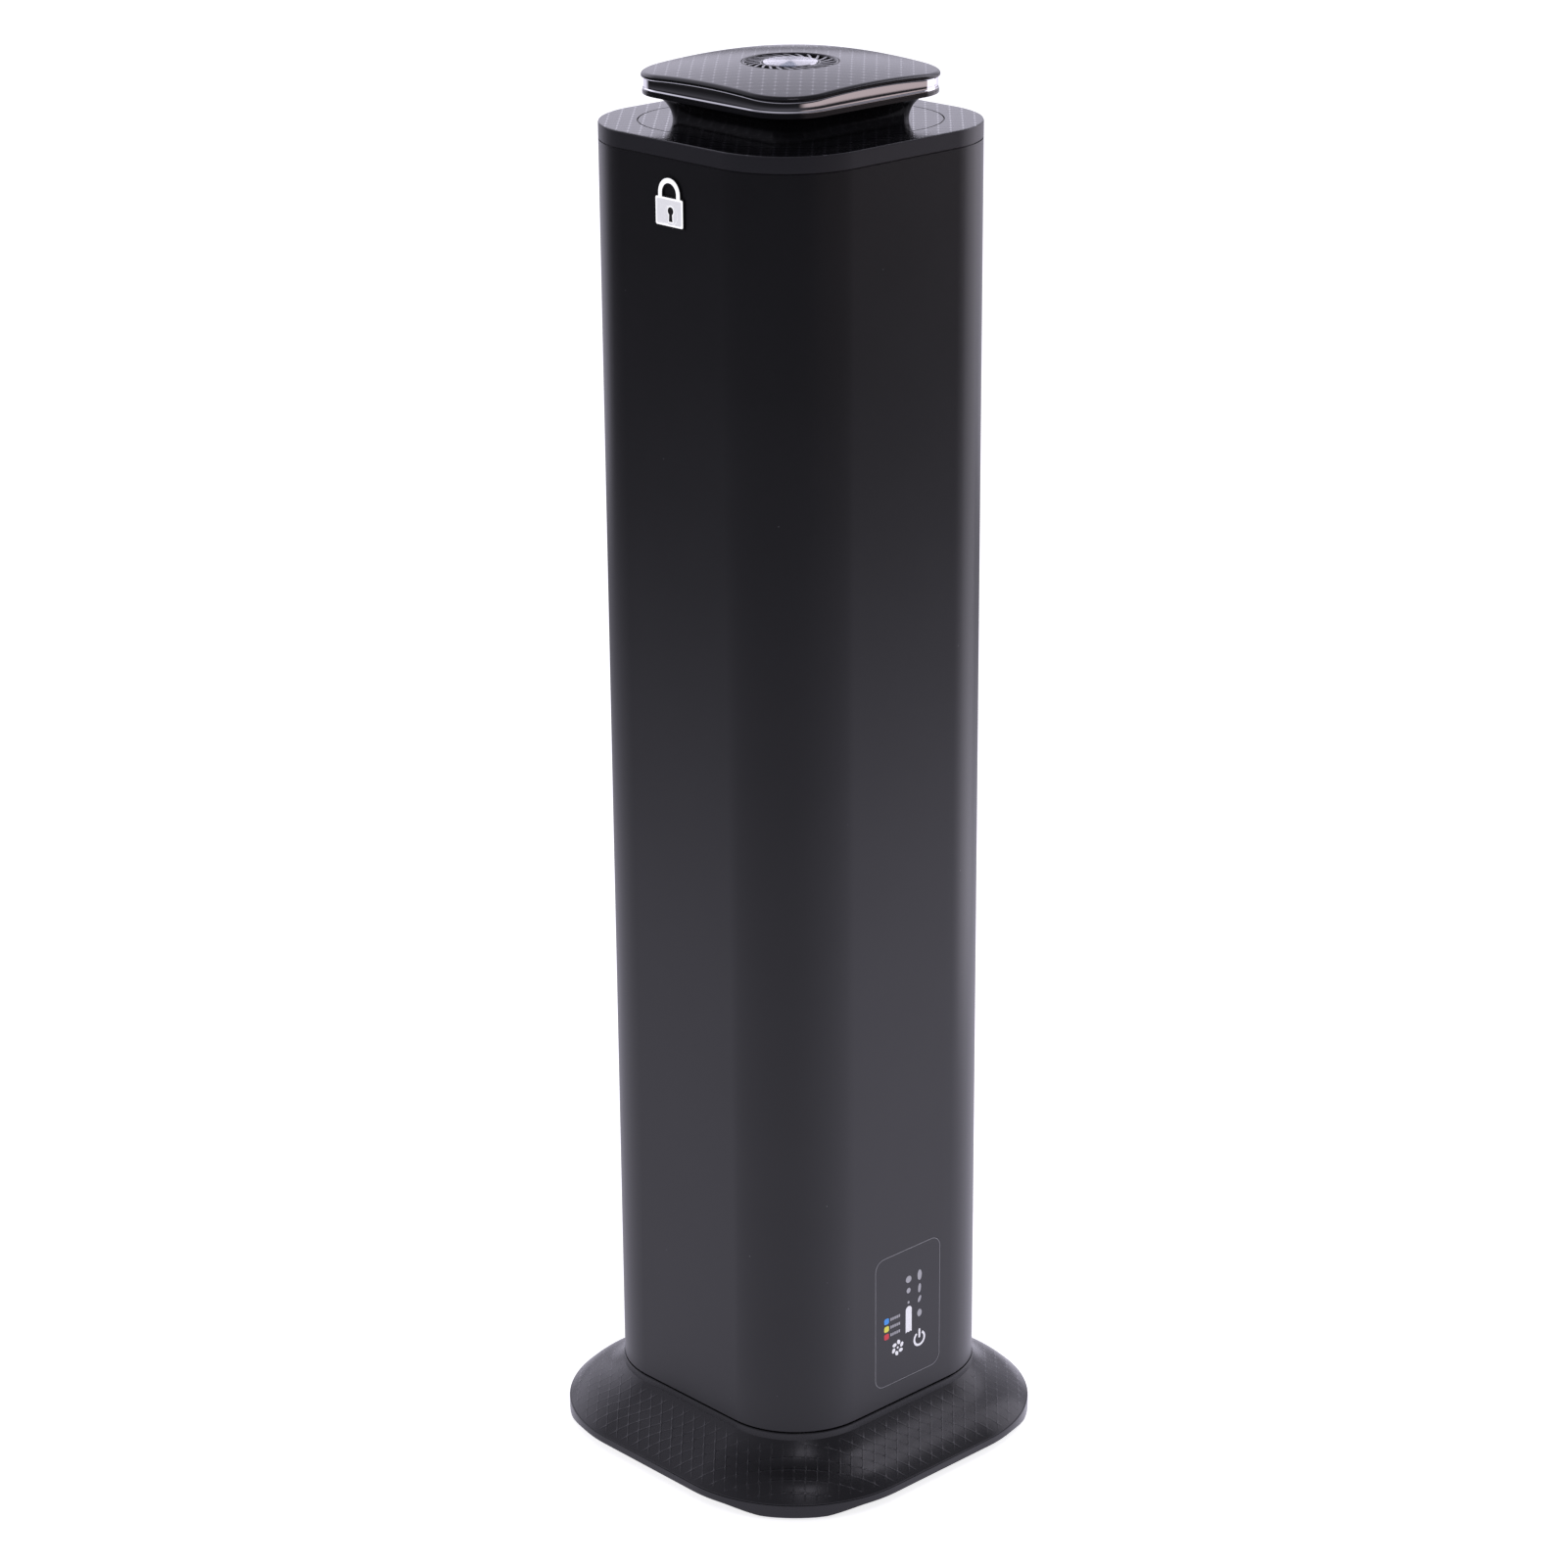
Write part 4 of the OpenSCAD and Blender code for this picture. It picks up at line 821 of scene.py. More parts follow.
def pleat_tree(finish):
    """A folded pack of paper round a tube."""
    number, length = "NodeSocketInt", "NodeSocketFloat"
    plan, given = new_tree("paper_pleats", {
        "Pleats": (number, 60), "Outer Radius": (length, 0.06), "Fold Depth": (length, 0.006),
        "Foot": (length, 0.4), "Top": (length, 0.8)})
    star = plan.node("GeometryNodeCurveStar", sockets={
        "Points": given["Pleats"], "Outer Radius": given["Outer Radius"],
        "Inner Radius": given["Outer Radius"] - given["Fold Depth"]})
    folds = plan.node("GeometryNodeFilletCurve", {"mode": "POLY"},
                      {"Curve": star, "Count": 3, "Radius": 0.0004})
    path = plan.node("GeometryNodeCurvePrimitiveLine", sockets={
        "Start": plan.node("ShaderNodeCombineXYZ", sockets={2: given["Foot"]}),
        "End": plan.node("ShaderNodeCombineXYZ", sockets={2: given["Top"]})})
    pack = plan.node("GeometryNodeCurveToMesh", sockets={
        "Curve": path, "Profile Curve": folds, "Fill Caps": True})
    return close_tree(plan, pack, finish)


def screw_tree(finish):
    """Pan-head screws with a cross recess, standing in a ring with their heads down."""
    number, length = "NodeSocketInt", "NodeSocketFloat"
    plan, given = new_tree("pan_screws", {
        "Count": (number, 4), "Ring Radius": (length, 0.1), "First Angle": (length, 0.0),
        "Seat": (length, 0.0), "Head Radius": (length, 0.003), "Head Height": (length, 0.002),
        "Shank Radius": (length, 0.0015), "Length": (length, 0.01)})

    def lifted(solid, height):
        return plan.node("GeometryNodeTransform", sockets={
            "Geometry": solid,
            "Translation": plan.node("ShaderNodeCombineXYZ", sockets={2: height})})

    head_r, head_h = given["Head Radius"], given["Head Height"]
    crossed = lifted(plan.node("GeometryNodeMeshCone", sockets={
        "Vertices": 24, "Depth": head_h, "Radius Bottom": head_r * 0.8, "Radius Top": head_r}),
        head_h * -1.0)
    for wide, deep in ((1.1, 0.24), (0.24, 1.1)):
        bar = plan.node("GeometryNodeMeshCube", sockets={
            "Size": plan.node("ShaderNodeCombineXYZ", sockets={
                0: head_r * wide, 1: head_r * deep, 2: head_h * 1.1})})
        crossed = plan.node("GeometryNodeMeshBoolean",
                            {"operation": "DIFFERENCE", "solver": "EXACT"},
                            {"Mesh 1": crossed, "Mesh 2": lifted(bar, head_h * -1.0)})
    shank = lifted(plan.node("GeometryNodeMeshCylinder", sockets={
        "Vertices": 16, "Depth": given["Length"], "Radius": given["Shank Radius"]}),
        given["Length"] * 0.5)
    join = plan.tree.nodes.new("GeometryNodeJoinGeometry")
    for part in (crossed, shank):
        plan.tree.links.new(part.socket, join.inputs[0])
    return close_tree(plan, round_the_axis(
        plan, Wire(plan, join.outputs[0]), given["Count"], given["First Angle"],
        given["Ring Radius"], given["Seat"]), finish)


# ---- Operators ----

class PURIFIER_OT_column(bpy.types.Operator):
    """Paint the column shell"""
    bl_idname = "purifier.column"
    bl_label = "Column"

    def execute(self, context):
        skin_of("column_shell", smooth=30)
        return {"FINISHED"}


class PURIFIER_OT_base(bpy.types.Operator):
    """Finish the flared base, its plate and its pads"""
    bl_idname = "purifier.base"
    bl_label = "Base"

    def execute(self, context):
        skin_of("base_skirt", "base_gloss", 28)
        for node in ("base_plate", "foot_pads", "intake_screen"):
            skin_of(node)
        return {"FINISHED"}


class PURIFIER_OT_cap(bpy.types.Operator):
    """Finish the cap, the lid plate and the fittings that the lid carries"""
    bl_idname = "purifier.cap"
    bl_label = "Cap and lid"

    def execute(self, context):
        for node in ("top_cap", "lid_plate"):
            skin_of(node, "patterned_gloss")
        for node in ("lid_gasket", "latch_keeper", "bayonet_ring", "filter_seal"):
            skin_of(node)
        return {"FINISHED"}


class PURIFIER_OT_head(bpy.types.Operator):
    """Make the neck, the tray, the bright band and the domed plate"""
    bl_idname = "purifier.head"
    bl_label = "Head"

    def execute(self, context):
        shape = context.scene.purifier_shape
        for node in ("neck", "head_tray", "outlet_duct"):
            skin_of(node, smooth=25)
        hole = shape.grille_radius + 0.3 * MM
        radius = shape.dome_radius
        ball = DOME_TOP - math.sqrt(radius ** 2 - hole ** 2)

        def dome(depth):
            return lambda x, y: ball + math.sqrt((radius - depth) ** 2 - x * x - y * y)

        self.make_band(shape, dome)
        self.make_dome(shape, dome, hole)
        return {"FINISHED"}

    def make_band(self, shape, dome):
        """A bright wall with a bead along its foot and a round edge at its top."""
        half = HEAD_HALF - shape.band_inset
        corner = shape.head_corner - shape.band_inset
        roof = dome(shape.dome_wall + 0.1 * MM)
        foot_bead = ((-0.3, 0), (0.3, 0), (0.45, 0.15), (0.46, 0.5), (0.36, 0.72), (0.2, 0.98),
                     (0.08, 1.25), (0.02, 1.5))
        top_round = ((0.0, 1.1), (-0.06, 0.75), (-0.2, 0.42), (-0.42, 0.16), (-0.8, 0))
        section = [(out * MM, lambda x, y, up=up: BAND_FOOT + up * MM) for out, up in foot_bead]
        for t in (0.3, 0.45, 0.6, 0.75):
            section.append((shape.band_bulge * math.sin(math.pi * t), lambda x, y, t=t: (
                BAND_FOOT + t * (roof(x, y) - BAND_FOOT))))
        section += [(out * MM, lambda x, y, down=down: roof(x, y) - down * MM)
                    for out, down in top_round]
        section += [(-2.2 * MM, roof), (-2.2 * MM, lambda x, y: BAND_FOOT)]
        rings = [rounded_ring(half + out, corner + out, level, 24, 16) for out, level in section]
        set_down("chrome_band_bright", joined_rings("chrome_band_bright", rings),
                 "lid", ["chrome"], ("chrome_band",))

    def make_dome(self, shape, dome, hole):
        """The plate from the grille's hole out to a rolled lip, and back underneath."""
        half, corner = HEAD_HALF, shape.head_corner
        roll, drop = shape.lip_roll, shape.lip_drop
        top, under = dome(0), dome(shape.dome_wall)
        guide = rounded_ring(half, corner, 0, 24, 16)
        rings = [round_ring(hole, dome(shape.dome_wall), guide),
                 round_ring(hole, dome(0.4 * MM), guide),
                 round_ring(hole + 0.15 * MM, dome(0.1 * MM), guide),
                 round_ring(hole + 0.4 * MM, top, guide)]
        inner = rings[-1]
        flat = rounded_ring(half - roll, corner - roll, top, 24, 16)
        steps = 14
        for i in range(1, steps + 1):
            t = i / steps
            between = [(a[0] + (b[0] - a[0]) * t, a[1] + (b[1] - a[1]) * t)
                       for a, b in zip(inner, flat)]
            rings.append([(x, y, top(x, y)) for x, y in between])
        small = 0.4 * MM
        turns = [math.radians(angle) for angle in range(10, 91, 10)]
        edge = [(roll * (1 - math.sin(a)), drop * (1 - math.cos(a))) for a in turns]
        edge += [(small * (1 - math.cos(a)), shape.dome_wall - small * (1 - math.sin(a)))
                 for a in turns[::2]]
        for inset, below in edge:
            rings.append([(x, y, top(x, y) - below) for x, y, _ in
                          rounded_ring(half - inset, corner - inset, 0, 24, 16)])
        low = rounded_ring(half - 4 * MM, corner - 4 * MM, under, 24, 16)
        rings += [low, round_ring(hole + 3 * MM, under, guide)]
        set_down("dome_cover", joined_rings("dome_cover", rings), "lid",
                 ["dome_gloss"], ("dome_plate",), 40)


class PURIFIER_OT_grille(bpy.types.Operator):
    """Make the outlet grille with its curved vanes and the spun disc"""
    bl_idname = "purifier.grille"
    bl_label = "Outlet grille"

    def execute(self, context):
        shape = context.scene.purifier_shape
        rim, disc = shape.grille_radius, shape.disc_radius
        top = GRILLE_TOP
        face = top - 0.6 * MM
        foot = top - 5 * MM
        ring = turned("grille_rim", [
            (rim - 1.7 * MM, foot), (rim - 0.1 * MM, foot), (rim, foot + 0.1 * MM),
            (rim, top - 0.25 * MM), (rim - 0.25 * MM, top), (rim - 0.75 * MM, top),
            (rim - 1.0 * MM, top - 0.25 * MM), (rim - 1.15 * MM, face),
            (rim - 1.6 * MM, face - 0.1 * MM), (rim - 1.7 * MM, face - 0.4 * MM)], 128)
        set_down("grille_rim", ring, "lid", ["grille_grey"], ("swirl_grille",))
        hub = turned("grille_hub", [
            (0, foot), (disc + 1.8 * MM, foot), (disc + 2 * MM, foot + 0.2 * MM),
            (disc + 2 * MM, face - 0.4 * MM), (disc + 1.6 * MM, face),
            (disc + 0.8 * MM, face), (disc + 0.6 * MM, face - 0.2 * MM),
            (disc + 0.6 * MM, top - 1.6 * MM), (0, top - 1.6 * MM)], 96)
        set_down("grille_hub", hub, "lid", ["grille_grey"])
        # Near-black rings inside the rim and round the hub, and near-black vanes, are painted shade
        # in the slots; thin pale strips on the vanes' tops are a painted highlight.
        for label, inside in (("outer_slot_wall", rim - 1.85 * MM),
                              ("inner_slot_wall", disc + 1.95 * MM)):
            outside, low, high = inside + 0.2 * MM, foot + 0.2 * MM, face - 0.5 * MM
            wall = turned(label, [(inside, low), (outside, low), (outside, high), (inside, high)])
            set_down(label, wall, "lid", ["slot_black"])
        around = {"Count": shape.vane_count, "Inner Radius": disc + 1.6 * MM,
                  "Outer Radius": rim - 1.3 * MM, "Sweep": shape.vane_sweep}
        grown("grille_vanes", vane_tree("slot_black"), {
            **around, "Width": 1.7 * MM, "Depth": 4.0 * MM, "Top": face - 0.2 * MM},
            "lid")
        grown("vane_edges", vane_tree("vane_edge"), {
            **around, "Width": 1.5 * MM, "Depth": 0.3 * MM, "Top": face - 0.03 * MM},
            "lid")
        seat = top - 1.6 * MM
        plate = turned("spun_disc", [
            (0, seat), (disc, seat), (disc, seat + 1.1 * MM), (disc - 0.2 * MM, seat + 1.45 * MM),
            (disc - 0.6 * MM, seat + 1.6 * MM)] + [
                ((disc - 0.6 * MM) * (1 - i / 10), seat + 1.6 * MM + 0.48 * MM * (i / 10) ** 1.3)
                for i in range(1, 10)] + [(0.35 * MM, seat + 2.08 * MM), (0, seat + 2.1 * MM)], 128)
        set_down("spun_disc", plate, "lid", ["spun_steel"], ("grille_disc",))
        return {"FINISHED"}


class PURIFIER_OT_lock(bpy.types.Operator):
    """Make the padlock badge, the plug with its keyhole and the lock's fittings"""
    bl_idname = "purifier.lock"
    bl_label = "Lock"
    face_radius = 5.95 * MM

    def execute(self, context):
        low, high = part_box("lock_badge")
        barrel_low, barrel_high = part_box("lock_barrel")
        axis_y = (barrel_low.y + barrel_high.y) / 2
        axis_z = (barrel_low.z + barrel_high.z) / 2
        proud = high.x - low.x
        shift = 1.5 * MM
        middle = (low.z - axis_z) + 11.4 * MM
        arch_z = high.z - axis_z - 10.5 * MM
        hole = self.face_radius + 0.08 * MM

        def on_face(u, v, w):
            return (-COLUMN_HALF - w, axis_y - u, axis_z + v)

        def padlock(plates, grow, base, face, finish):
            ring, inside = 9.5 * MM + grow, 6.5 * MM - grow
            shoulder = middle + 8.6 * MM + grow
            plates.add([(ring - shift, shoulder)] + arc(-shift, arch_z, ring, 0, math.pi) + [
                (-ring - shift, shoulder), (-inside - shift, shoulder)]
                + arc(-shift, arch_z, inside, math.pi, 0)
                + [(inside - shift, shoulder)], base, face, finish)
            self.body_plate(plates, shift, 24 * MM + 2 * grow, 17.2 * MM + 2 * grow, middle,
                            hole, base, face, finish)

        plates = Plates(on_face)
        padlock(plates, 0.9 * MM, 0.0, proud - 0.3 * MM, 0)
        padlock(plates, 0.0, proud - 0.3 * MM, proud - 0.05 * MM, 1)
        self.body_plate(plates, shift, 21.8 * MM, 15 * MM, middle, hole,
                        proud - 0.05 * MM, proud, 2)
        set_down("padlock_badge", plates.mesh("padlock_badge"), "housing",
                 ["badge_outline", "badge_white", "badge_silver"], ("lock_badge",), 30)
        barrel = skin_of("lock_barrel", "badge_silver")
        for vert in barrel.data.vertices:
            if vert.co.x < -COLUMN_HALF - 0.1 * MM:
                vert.co.x += 0.35 * MM
        skin_of("lock_nut")
        skin_of("lock_cam")
        self.make_plug(on_face, proud)
        return {"FINISHED"}

    def body_plate(self, plates, shift, wide, tall, middle, hole, base, face, finish):
        """A square plate round a hole, as two halves that meet above and below the hole."""
        for side in (1, -1):
            steps = 20
            notch = [(side * hole * math.sin(math.pi * i / steps),
                      -hole * math.cos(math.pi * i / steps)) for i in range(steps + 1)]
            soft = 1.0 * MM
            far = side * wide / 2 - shift
            edge = [(0, middle + tall / 2), (far - side * soft, middle + tall / 2),
                    (far - side * 0.3 * soft, middle + tall / 2 - 0.3 * soft),
                    (far, middle + tall / 2 - soft), (far, middle - tall / 2 + soft),
                    (far - side * 0.3 * soft, middle - tall / 2 + 0.3 * soft),
                    (far - side * soft, middle - tall / 2), (0, middle - tall / 2)]
            plates.add(notch + edge, base, face, finish)

    def make_plug(self, on_face, proud):
        """The turning plug: a silver face with a white-edged keyhole, on the shank behind it."""
        low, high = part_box("lock_plug")
        radius = (high.z - low.z) / 2
        plates = Plates(on_face)
        plates.add(oval(0, 0, 2 * radius, 2 * radius, 48), proud - (high.x - low.x),
                   proud - 0.1 * MM, 0)
        plates.add(oval(0, 0, 2 * self.face_radius, 2 * self.face_radius, 64),
                   proud - 0.1 * MM, proud + 0.04 * MM, 0)
        # The last plate is a near-black keyhole laid on the face, not an opening: painted shade.
        for grow, face, finish in ((0.7 * MM, proud + 0.07 * MM, 1),
                                   (0, proud + 0.16 * MM, 2)):
            head = 2.5 * MM + grow
            keyhole = []
            for i in range(25):
                angle = math.radians(-62 + i * (304 / 24))
                keyhole.append((head * math.cos(angle), 2.6 * MM + head * math.sin(angle)))
            keyhole += [(-1.3 * MM - grow, -0.2 * MM), (-1.6 * MM - grow, -3.9 * MM - grow),
                        (1.6 * MM + grow, -3.9 * MM - grow), (1.3 * MM + grow, -0.2 * MM)]
            plates.add(keyhole, proud + 0.03 * MM, face, finish)
        set_down("lock_face", plates.mesh("lock_face"), "lock",
                 ["badge_silver", "badge_white", "keyhole_black"], ("lock_plug",), 30)


class PURIFIER_OT_touch_panel(bpy.types.Operator):
    """Make the touch panel's film and its printed marks"""
    bl_idname = "purifier.touch_panel"
    bl_label = "Touch panel"

    def execute(self, context):
        middle = (PANEL_LOW + PANEL_HIGH) / 2
        wide = PANEL_HIGH.x - PANEL_LOW.x
        tall = PANEL_HIGH.z - PANEL_LOW.z
        thick = PANEL_HIGH.y - PANEL_LOW.y

        def on_face(u, v, w):
            return (middle.x + u, -COLUMN_HALF - w, middle.z + v)

        film = Plates(on_face)
        corner = 8 * MM
        film.add(soft_box(0, 0, wide, tall, corner, 10), -thick, 0.03 * MM, 1)
        film.add(soft_box(0, 0, wide - 0.9 * MM, tall - 0.9 * MM, corner - 0.45 * MM, 10),
                 0.03 * MM, 0.05 * MM, 0)
        set_down("touch_film", film.mesh("touch_film"), "housing",
                 ["touch_overlay", "panel_line"], ("control_overlay",), 30)
        marks = Plates(on_face)
        self.draw_marks(marks)
        set_down("touch_print", marks.mesh("touch_print"), "housing",
                 ["print_white", "print_grey", "print_blue", "print_yellow", "print_red"],
                 smooth=30)
        return {"FINISHED"}

    def draw_marks(self, marks):
        """Quality lamps, level bar, timer marks, fan key and power key."""
        base, face = 0.05 * MM, 0.09 * MM
        white, grey = 0, 1

        def put(outline, finish=white):
            marks.add([(u * MM, v * MM) for u, v in outline], base, face, finish)

        for ink, v in ((2, 0.7), (3, -5.0), (4, -10.6)):
            put(soft_box(-19.8, v, 4.4, 4.2, 1.3), ink)
            for k in range(5):
                put(soft_box(-15.6 + k * 1.9, v + 0.25, 1.35, 2.1, 0.35), grey)
        put([(-2.0, -14.4), (-0.4, -13.7), (0.9, -14.4), (2.2, -13.7), (3.6, -14.4), (3.6, 2.0)]
            + arc(0.8, 2.0, 2.8, 0, math.pi) + [(-2.0, 2.0)])
        put(oval(0.6, 24.6, 5.2, 5.0), grey)
        put(oval(0.6, 16.3, 3.6, 3.8), grey)
        put(oval(0.6, 7.7, 1.9, 2.0, 12), grey)
        put(oval(10.9, 24.4, 3.9, 7.6), grey)
        put(oval(10.9, 14.8, 2.6, 6.6, 20, -0.1), grey)
        put(oval(10.9, 6.7, 2.5, 5.0, 20, -0.45), grey)
        put(oval(10.9, -3.6, 4.2, 5.4), grey)
        for k in range(6):
            angle = 2 * math.pi * k / 6 + 0.3
            put(oval(-9.4 + 3.95 * math.cos(angle), -22.1 + 3.95 * math.sin(angle),
                     3.7, 2.7, 18, angle + 0.75))
        put(oval(-9.4, -22.1, 1.7, 1.7, 16))
        put(bow(10.9, -22.6, 5.5, 3.9, math.radians(122), math.radians(418), 44))
        put(soft_box(10.9, -18.7, 1.7, 6.8, 0.8))


class PURIFIER_OT_filter(bpy.types.Operator):
    """Finish the filter cartridge and fold its paper"""
    bl_idname = "purifier.filter"
    bl_label = "Filter cartridge"

    def execute(self, context):
        shape = context.scene.purifier_shape
        for node in ("filter_top_cap", "filter_bottom_cap", "filter_cage"):
            skin_of(node)
        low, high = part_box("pleated_media")
        grown("paper_pleats", pleat_tree("filter_paper"), {
            "Pleats": shape.pleat_count, "Outer Radius": high.x, "Fold Depth": 6 * MM,
            "Foot": low.z, "Top": high.z}, "filter", ("pleated_media",), 30)
        return {"FINISHED"}


class PURIFIER_OT_screws(bpy.types.Operator):
    """Make the screws that hold the base, the cap and the lid"""
    bl_idname = "purifier.screws"
    bl_label = "Screws"

    def execute(self, context):
        tree = screw_tree("steel_screws")
        for name, node, head, tall, shank in (
                ("base_screw_set", "base_screws", 4 * MM, 3 * MM, 2 * MM),
                ("cap_screw_set", "cap_screws", 3 * MM, 2 * MM, 1.5 * MM)):
            low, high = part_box(node)
            grown(name, tree, {
                "Count": 4, "Ring Radius": (high.x - head) * math.sqrt(2),
                "First Angle": math.pi / 4, "Seat": low.z + tall, "Head Radius": head,
                "Head Height": tall, "Shank Radius": shank, "Length": high.z - low.z - tall},
                "housing", (node,))
        return {"FINISHED"}


class PURIFIER_OT_inner_parts(bpy.types.Operator):
    """Give every part that the frame keeps the finish of its material slot"""
    bl_idname = "purifier.inner_parts"
    bl_label = "Inner parts"

    def execute(self, context):
        for node in ("mains_inlet", "inlet_pins", "lid_screws"):
            skin_of(node)
        for name, part in frame["nodes"].items():
            part.data.materials.clear()
            part.data.materials.append(finish_named(slot_of(name)))
        return {"FINISHED"}


class PURIFIER_OT_stage(bpy.types.Operator):
    """Lay the floor, hang the light and set up the camera"""
    bl_idname = "purifier.stage"
    bl_label = "Stage"

    def execute(self, context):
        stage = context.scene.purifier_stage
        context.scene.view_settings.view_transform = "Standard"
        self.light_world(context.scene, stage)
        self.lay_floor(stage)
        self.hang_light(stage)
        self.stand_camera(context.scene, stage)
        return {"FINISHED"}

    def light_world(self, scene, stage):
        """Pale near the horizon and dimmer overhead; plain white where it is seen directly."""
        world = bpy.data.worlds.new("studio")
        scene.world = world
        world.use_nodes = True
        plan = Plan(world.node_tree)
        plan.tree.nodes.clear()
        way = plan.node("ShaderNodeTexCoord", out="Generated")
        x, y, rise = plan.node("ShaderNodeSeparateXYZ", sockets={0: way}, out=(0, 1, 2))
        ahead, aside = self.bearings(stage, x, y)
        spread = (ahead.fade(-0.1, 0.6) * 0.76 + 0.24).math("MAXIMUM", rise.fade(0.45, 0.75) * 0.7)
        glow = (rise.fade(0.0, 0.1) * (1 - rise.fade(0.4, 0.95) * 0.65)
                * spread * (1 - aside * 0.4)) * stage.sky_light
        seen = plan.node("ShaderNodeLightPath", out="Is Camera Ray")
        back = plan.node("ShaderNodeBackground", sockets={
            "Color": plan.tint(seen, rgba(stage.light_tint), (1, 1, 1, 1)),
            "Strength": glow + (1 - glow) * seen})
        plan.node("ShaderNodeOutputWorld", sockets={"Surface": back})

    def bearings(self, stage, x, y):
        """How far a place or a direction lies ahead of the camera, and to its right."""
        hx, hy, _ = Vector(stage.camera_heading).normalized()
        return x * hx + y * hy, x * hy - y * hx

    def lay_floor(self, stage):
        """A pale floor that is brightest round the object, as under a studio lamp."""
        shell = bmesh.new()
        half_side = 30.0
        shell.faces.new([shell.verts.new((x * half_side, y * half_side, 0))
                         for x, y in ((-1, -1), (1, -1), (1, 1), (-1, 1))])
        mesh = bpy.data.meshes.new("floor")
        shell.to_mesh(mesh)
        shell.free()
        floor = bpy.data.objects.new("floor", mesh)
        bpy.context.scene.collection.objects.link(floor)
        p = Paint("floor_paint")
        reach = (p.x * p.x + p.y * p.y).math("SQRT")
        ahead, aside = self.bearings(stage, p.x, p.y)
        right = (aside / reach).fade(0.0, 1.0)
        pool = (1 - reach.fade(0.7, 2.6) * 0.985
                + (1 - reach.fade(3.0, 5.6)) * reach.fade(1.4, 2.6) * (1 - right) * 0.12)
        beyond = reach.fade(2.0, 2.6) * (ahead / reach).fade(0.5, 0.8)
        far_lamp = reach.fade(4.6, 5.0) * (1 - reach.fade(11.0, 13.0)) * right.fade(0.3, 0.8)
        unseen = p.node("ShaderNodeAddShader", sockets={
            0: p.node("ShaderNodeEmission", sockets={
                "Color": rgba(stage.light_tint),
                "Strength": (pool * (0.85 + right * 0.3)).math("MAXIMUM", beyond * 0.9)
                * stage.floor_light}),
            1: p.node("ShaderNodeEmission", sockets={
                "Color": (0.5, 0.41, 0.42, 1), "Strength": far_lamp})})
        plain = p.node("ShaderNodeBsdfDiffuse", sockets={"Color": (0.9, 0.9, 0.9, 1)})
        lamp = p.node("ShaderNodeEmission", sockets={"Color": (1, 1, 1, 1), "Strength": 0.8})
        shown = p.node("ShaderNodeAddShader", sockets={0: plain, 1: lamp})
        seen = p.node("ShaderNodeLightPath", out="Is Camera Ray")
        both = p.node("ShaderNodeMixShader", sockets={0: seen, 1: unseen, 2: shown})
        p.node("ShaderNodeOutputMaterial", sockets={"Surface": both})
        mesh.materials.append(p.material)

    def hang_light(self, stage):
        """A small softbox overhead, a tall strip close on the right and one above it."""
        ahead = Vector(stage.camera_heading).normalized()
        right = Vector((ahead.y, -ahead.x, 0))
        for name, place, target, wide, tall, power in (
                ("softbox", ahead * -0.95 + right * 0.25 + Vector((0, 0, 2.6)),
                 Vector((0, 0, 0.3)), 0.5, 0.5, stage.top_light),
                ("strip", ahead * 0.36 + right * 0.75 + Vector((0, 0, 0.66)),
                 ahead * 0.36 + Vector((0, 0, 0.66)), 0.5, 1.3, stage.strip_light),
                ("side", ahead * 0.35 + right * 0.75 + Vector((0, 0, 1.45)),
                 Vector((0, 0, 0.05)), 0.6, 0.3, stage.side_light)):
            lamp = bpy.data.lights.new(name, "AREA")
            lamp.shape = "RECTANGLE"
            lamp.size, lamp.size_y = wide, tall
            lamp.energy = power
            lamp.color = (1.0, 0.96, 1.1)
            box = bpy.data.objects.new(name, lamp)
            bpy.context.scene.collection.objects.link(box)
            box.location = place
            box.rotation_euler = (target - place).to_track_quat("-Z", "Y").to_euler()
            box.visible_camera = False

    def stand_camera(self, scene, stage):
        """A camera at its place, turned by its heading, pitch and roll."""
        ahead = Vector(stage.camera_heading).normalized()
        level = Vector((0, 0, 1))
        look = ahead * math.cos(stage.camera_pitch) - level * math.sin(stage.camera_pitch)
        right = ahead.cross(level).normalized()
        up = right.cross(look)
        c, s = math.cos(stage.camera_roll), math.sin(stage.camera_roll)
        right, up = right * c + up * s, up * c - right * s
        data = bpy.data.cameras.new("camera")
        data.lens = stage.lens
        data.sensor_width = 36
        camera = bpy.data.objects.new("camera", data)
        scene.collection.objects.link(camera)
        turn = Matrix((right, up, -look)).transposed().to_4x4()
        camera.matrix_world = Matrix.Translation(stage.camera_place) @ turn
        scene.camera = camera


class PURIFIER_PT_builder(bpy.types.Panel):
    """Lists the pieces in the order they are made"""
    bl_idname = "PURIFIER_PT_builder"
    bl_label = "Tower purifier"
    bl_space_type = "VIEW_3D"
    bl_region_type = "UI"
    bl_category = "Purifier"

    def draw(self, context):
        for step in STEPS:
            self.layout.operator(step.bl_idname)
        for group in ("purifier_shape", "purifier_finish", "purifier_stage"):
            settings = getattr(context.scene, group)
            column = self.layout.column()
            for key in settings.__annotations__:
                column.prop(settings, key)


STEPS = (PURIFIER_OT_stage, PURIFIER_OT_column, PURIFIER_OT_base, PURIFIER_OT_cap,
         PURIFIER_OT_head, PURIFIER_OT_grille, PURIFIER_OT_lock, PURIFIER_OT_touch_panel,
         PURIFIER_OT_filter, PURIFIER_OT_screws, PURIFIER_OT_inner_parts)
GROUPS = {"purifier_shape": PurifierShape, "purifier_finish": PurifierFinish,
          "purifier_stage": PurifierStage}


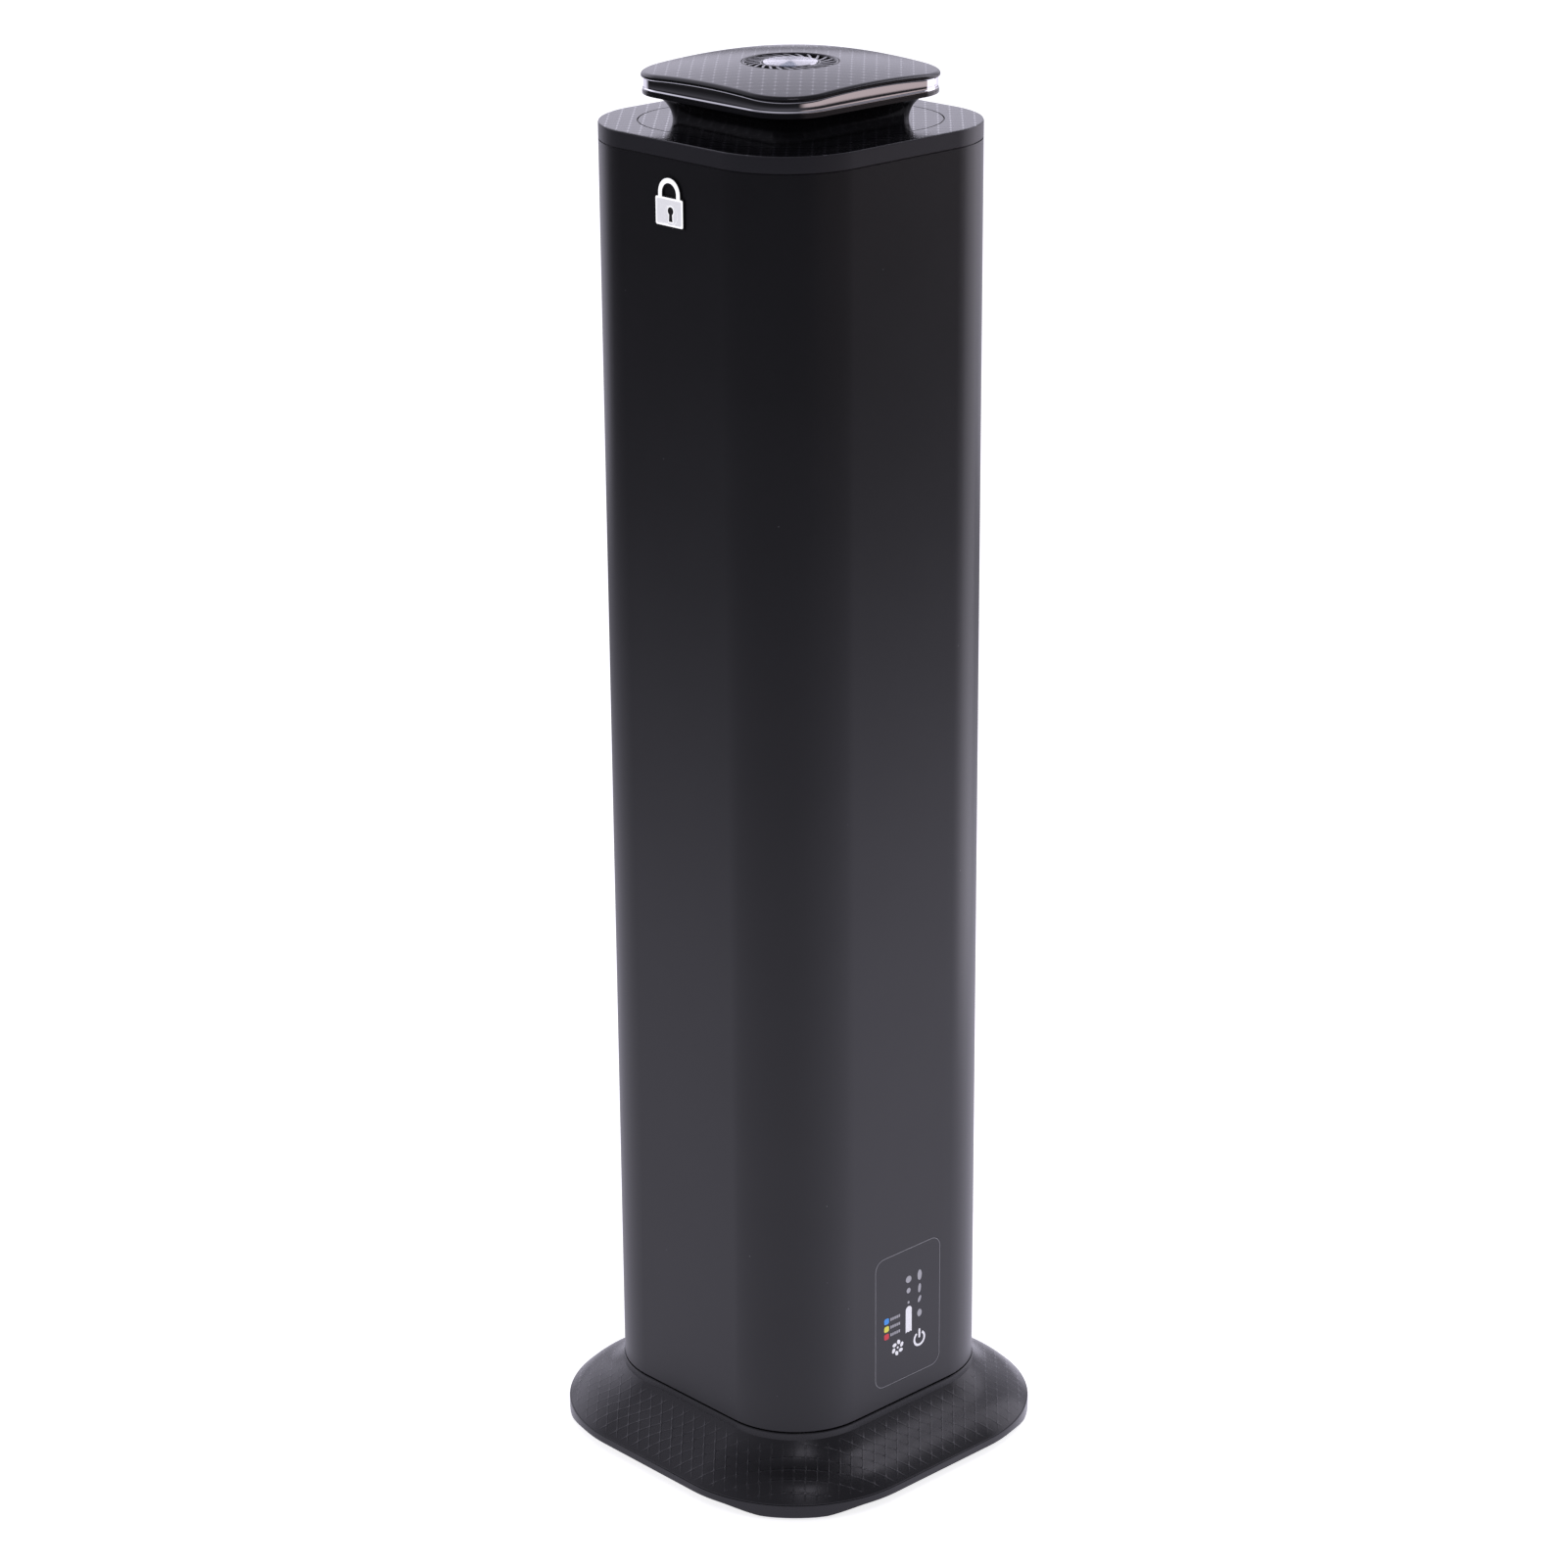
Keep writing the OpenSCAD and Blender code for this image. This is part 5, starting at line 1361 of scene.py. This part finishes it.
def register():
    for group in GROUPS.values():
        bpy.utils.register_class(group)
    for key, group in GROUPS.items():
        setattr(bpy.types.Scene, key, bpy.props.PointerProperty(type=group))
    for step in STEPS:
        bpy.utils.register_class(step)
    bpy.utils.register_class(PURIFIER_PT_builder)


def unregister():
    bpy.utils.unregister_class(PURIFIER_PT_builder)
    for step in reversed(STEPS):
        bpy.utils.unregister_class(step)
    for key, group in GROUPS.items():
        delattr(bpy.types.Scene, key)
        bpy.utils.unregister_class(group)


def main():
    register()
    for step in STEPS:
        group, name = step.bl_idname.split(".")
        getattr(getattr(bpy.ops, group), name)()


if __name__ == "__main__":
    main()
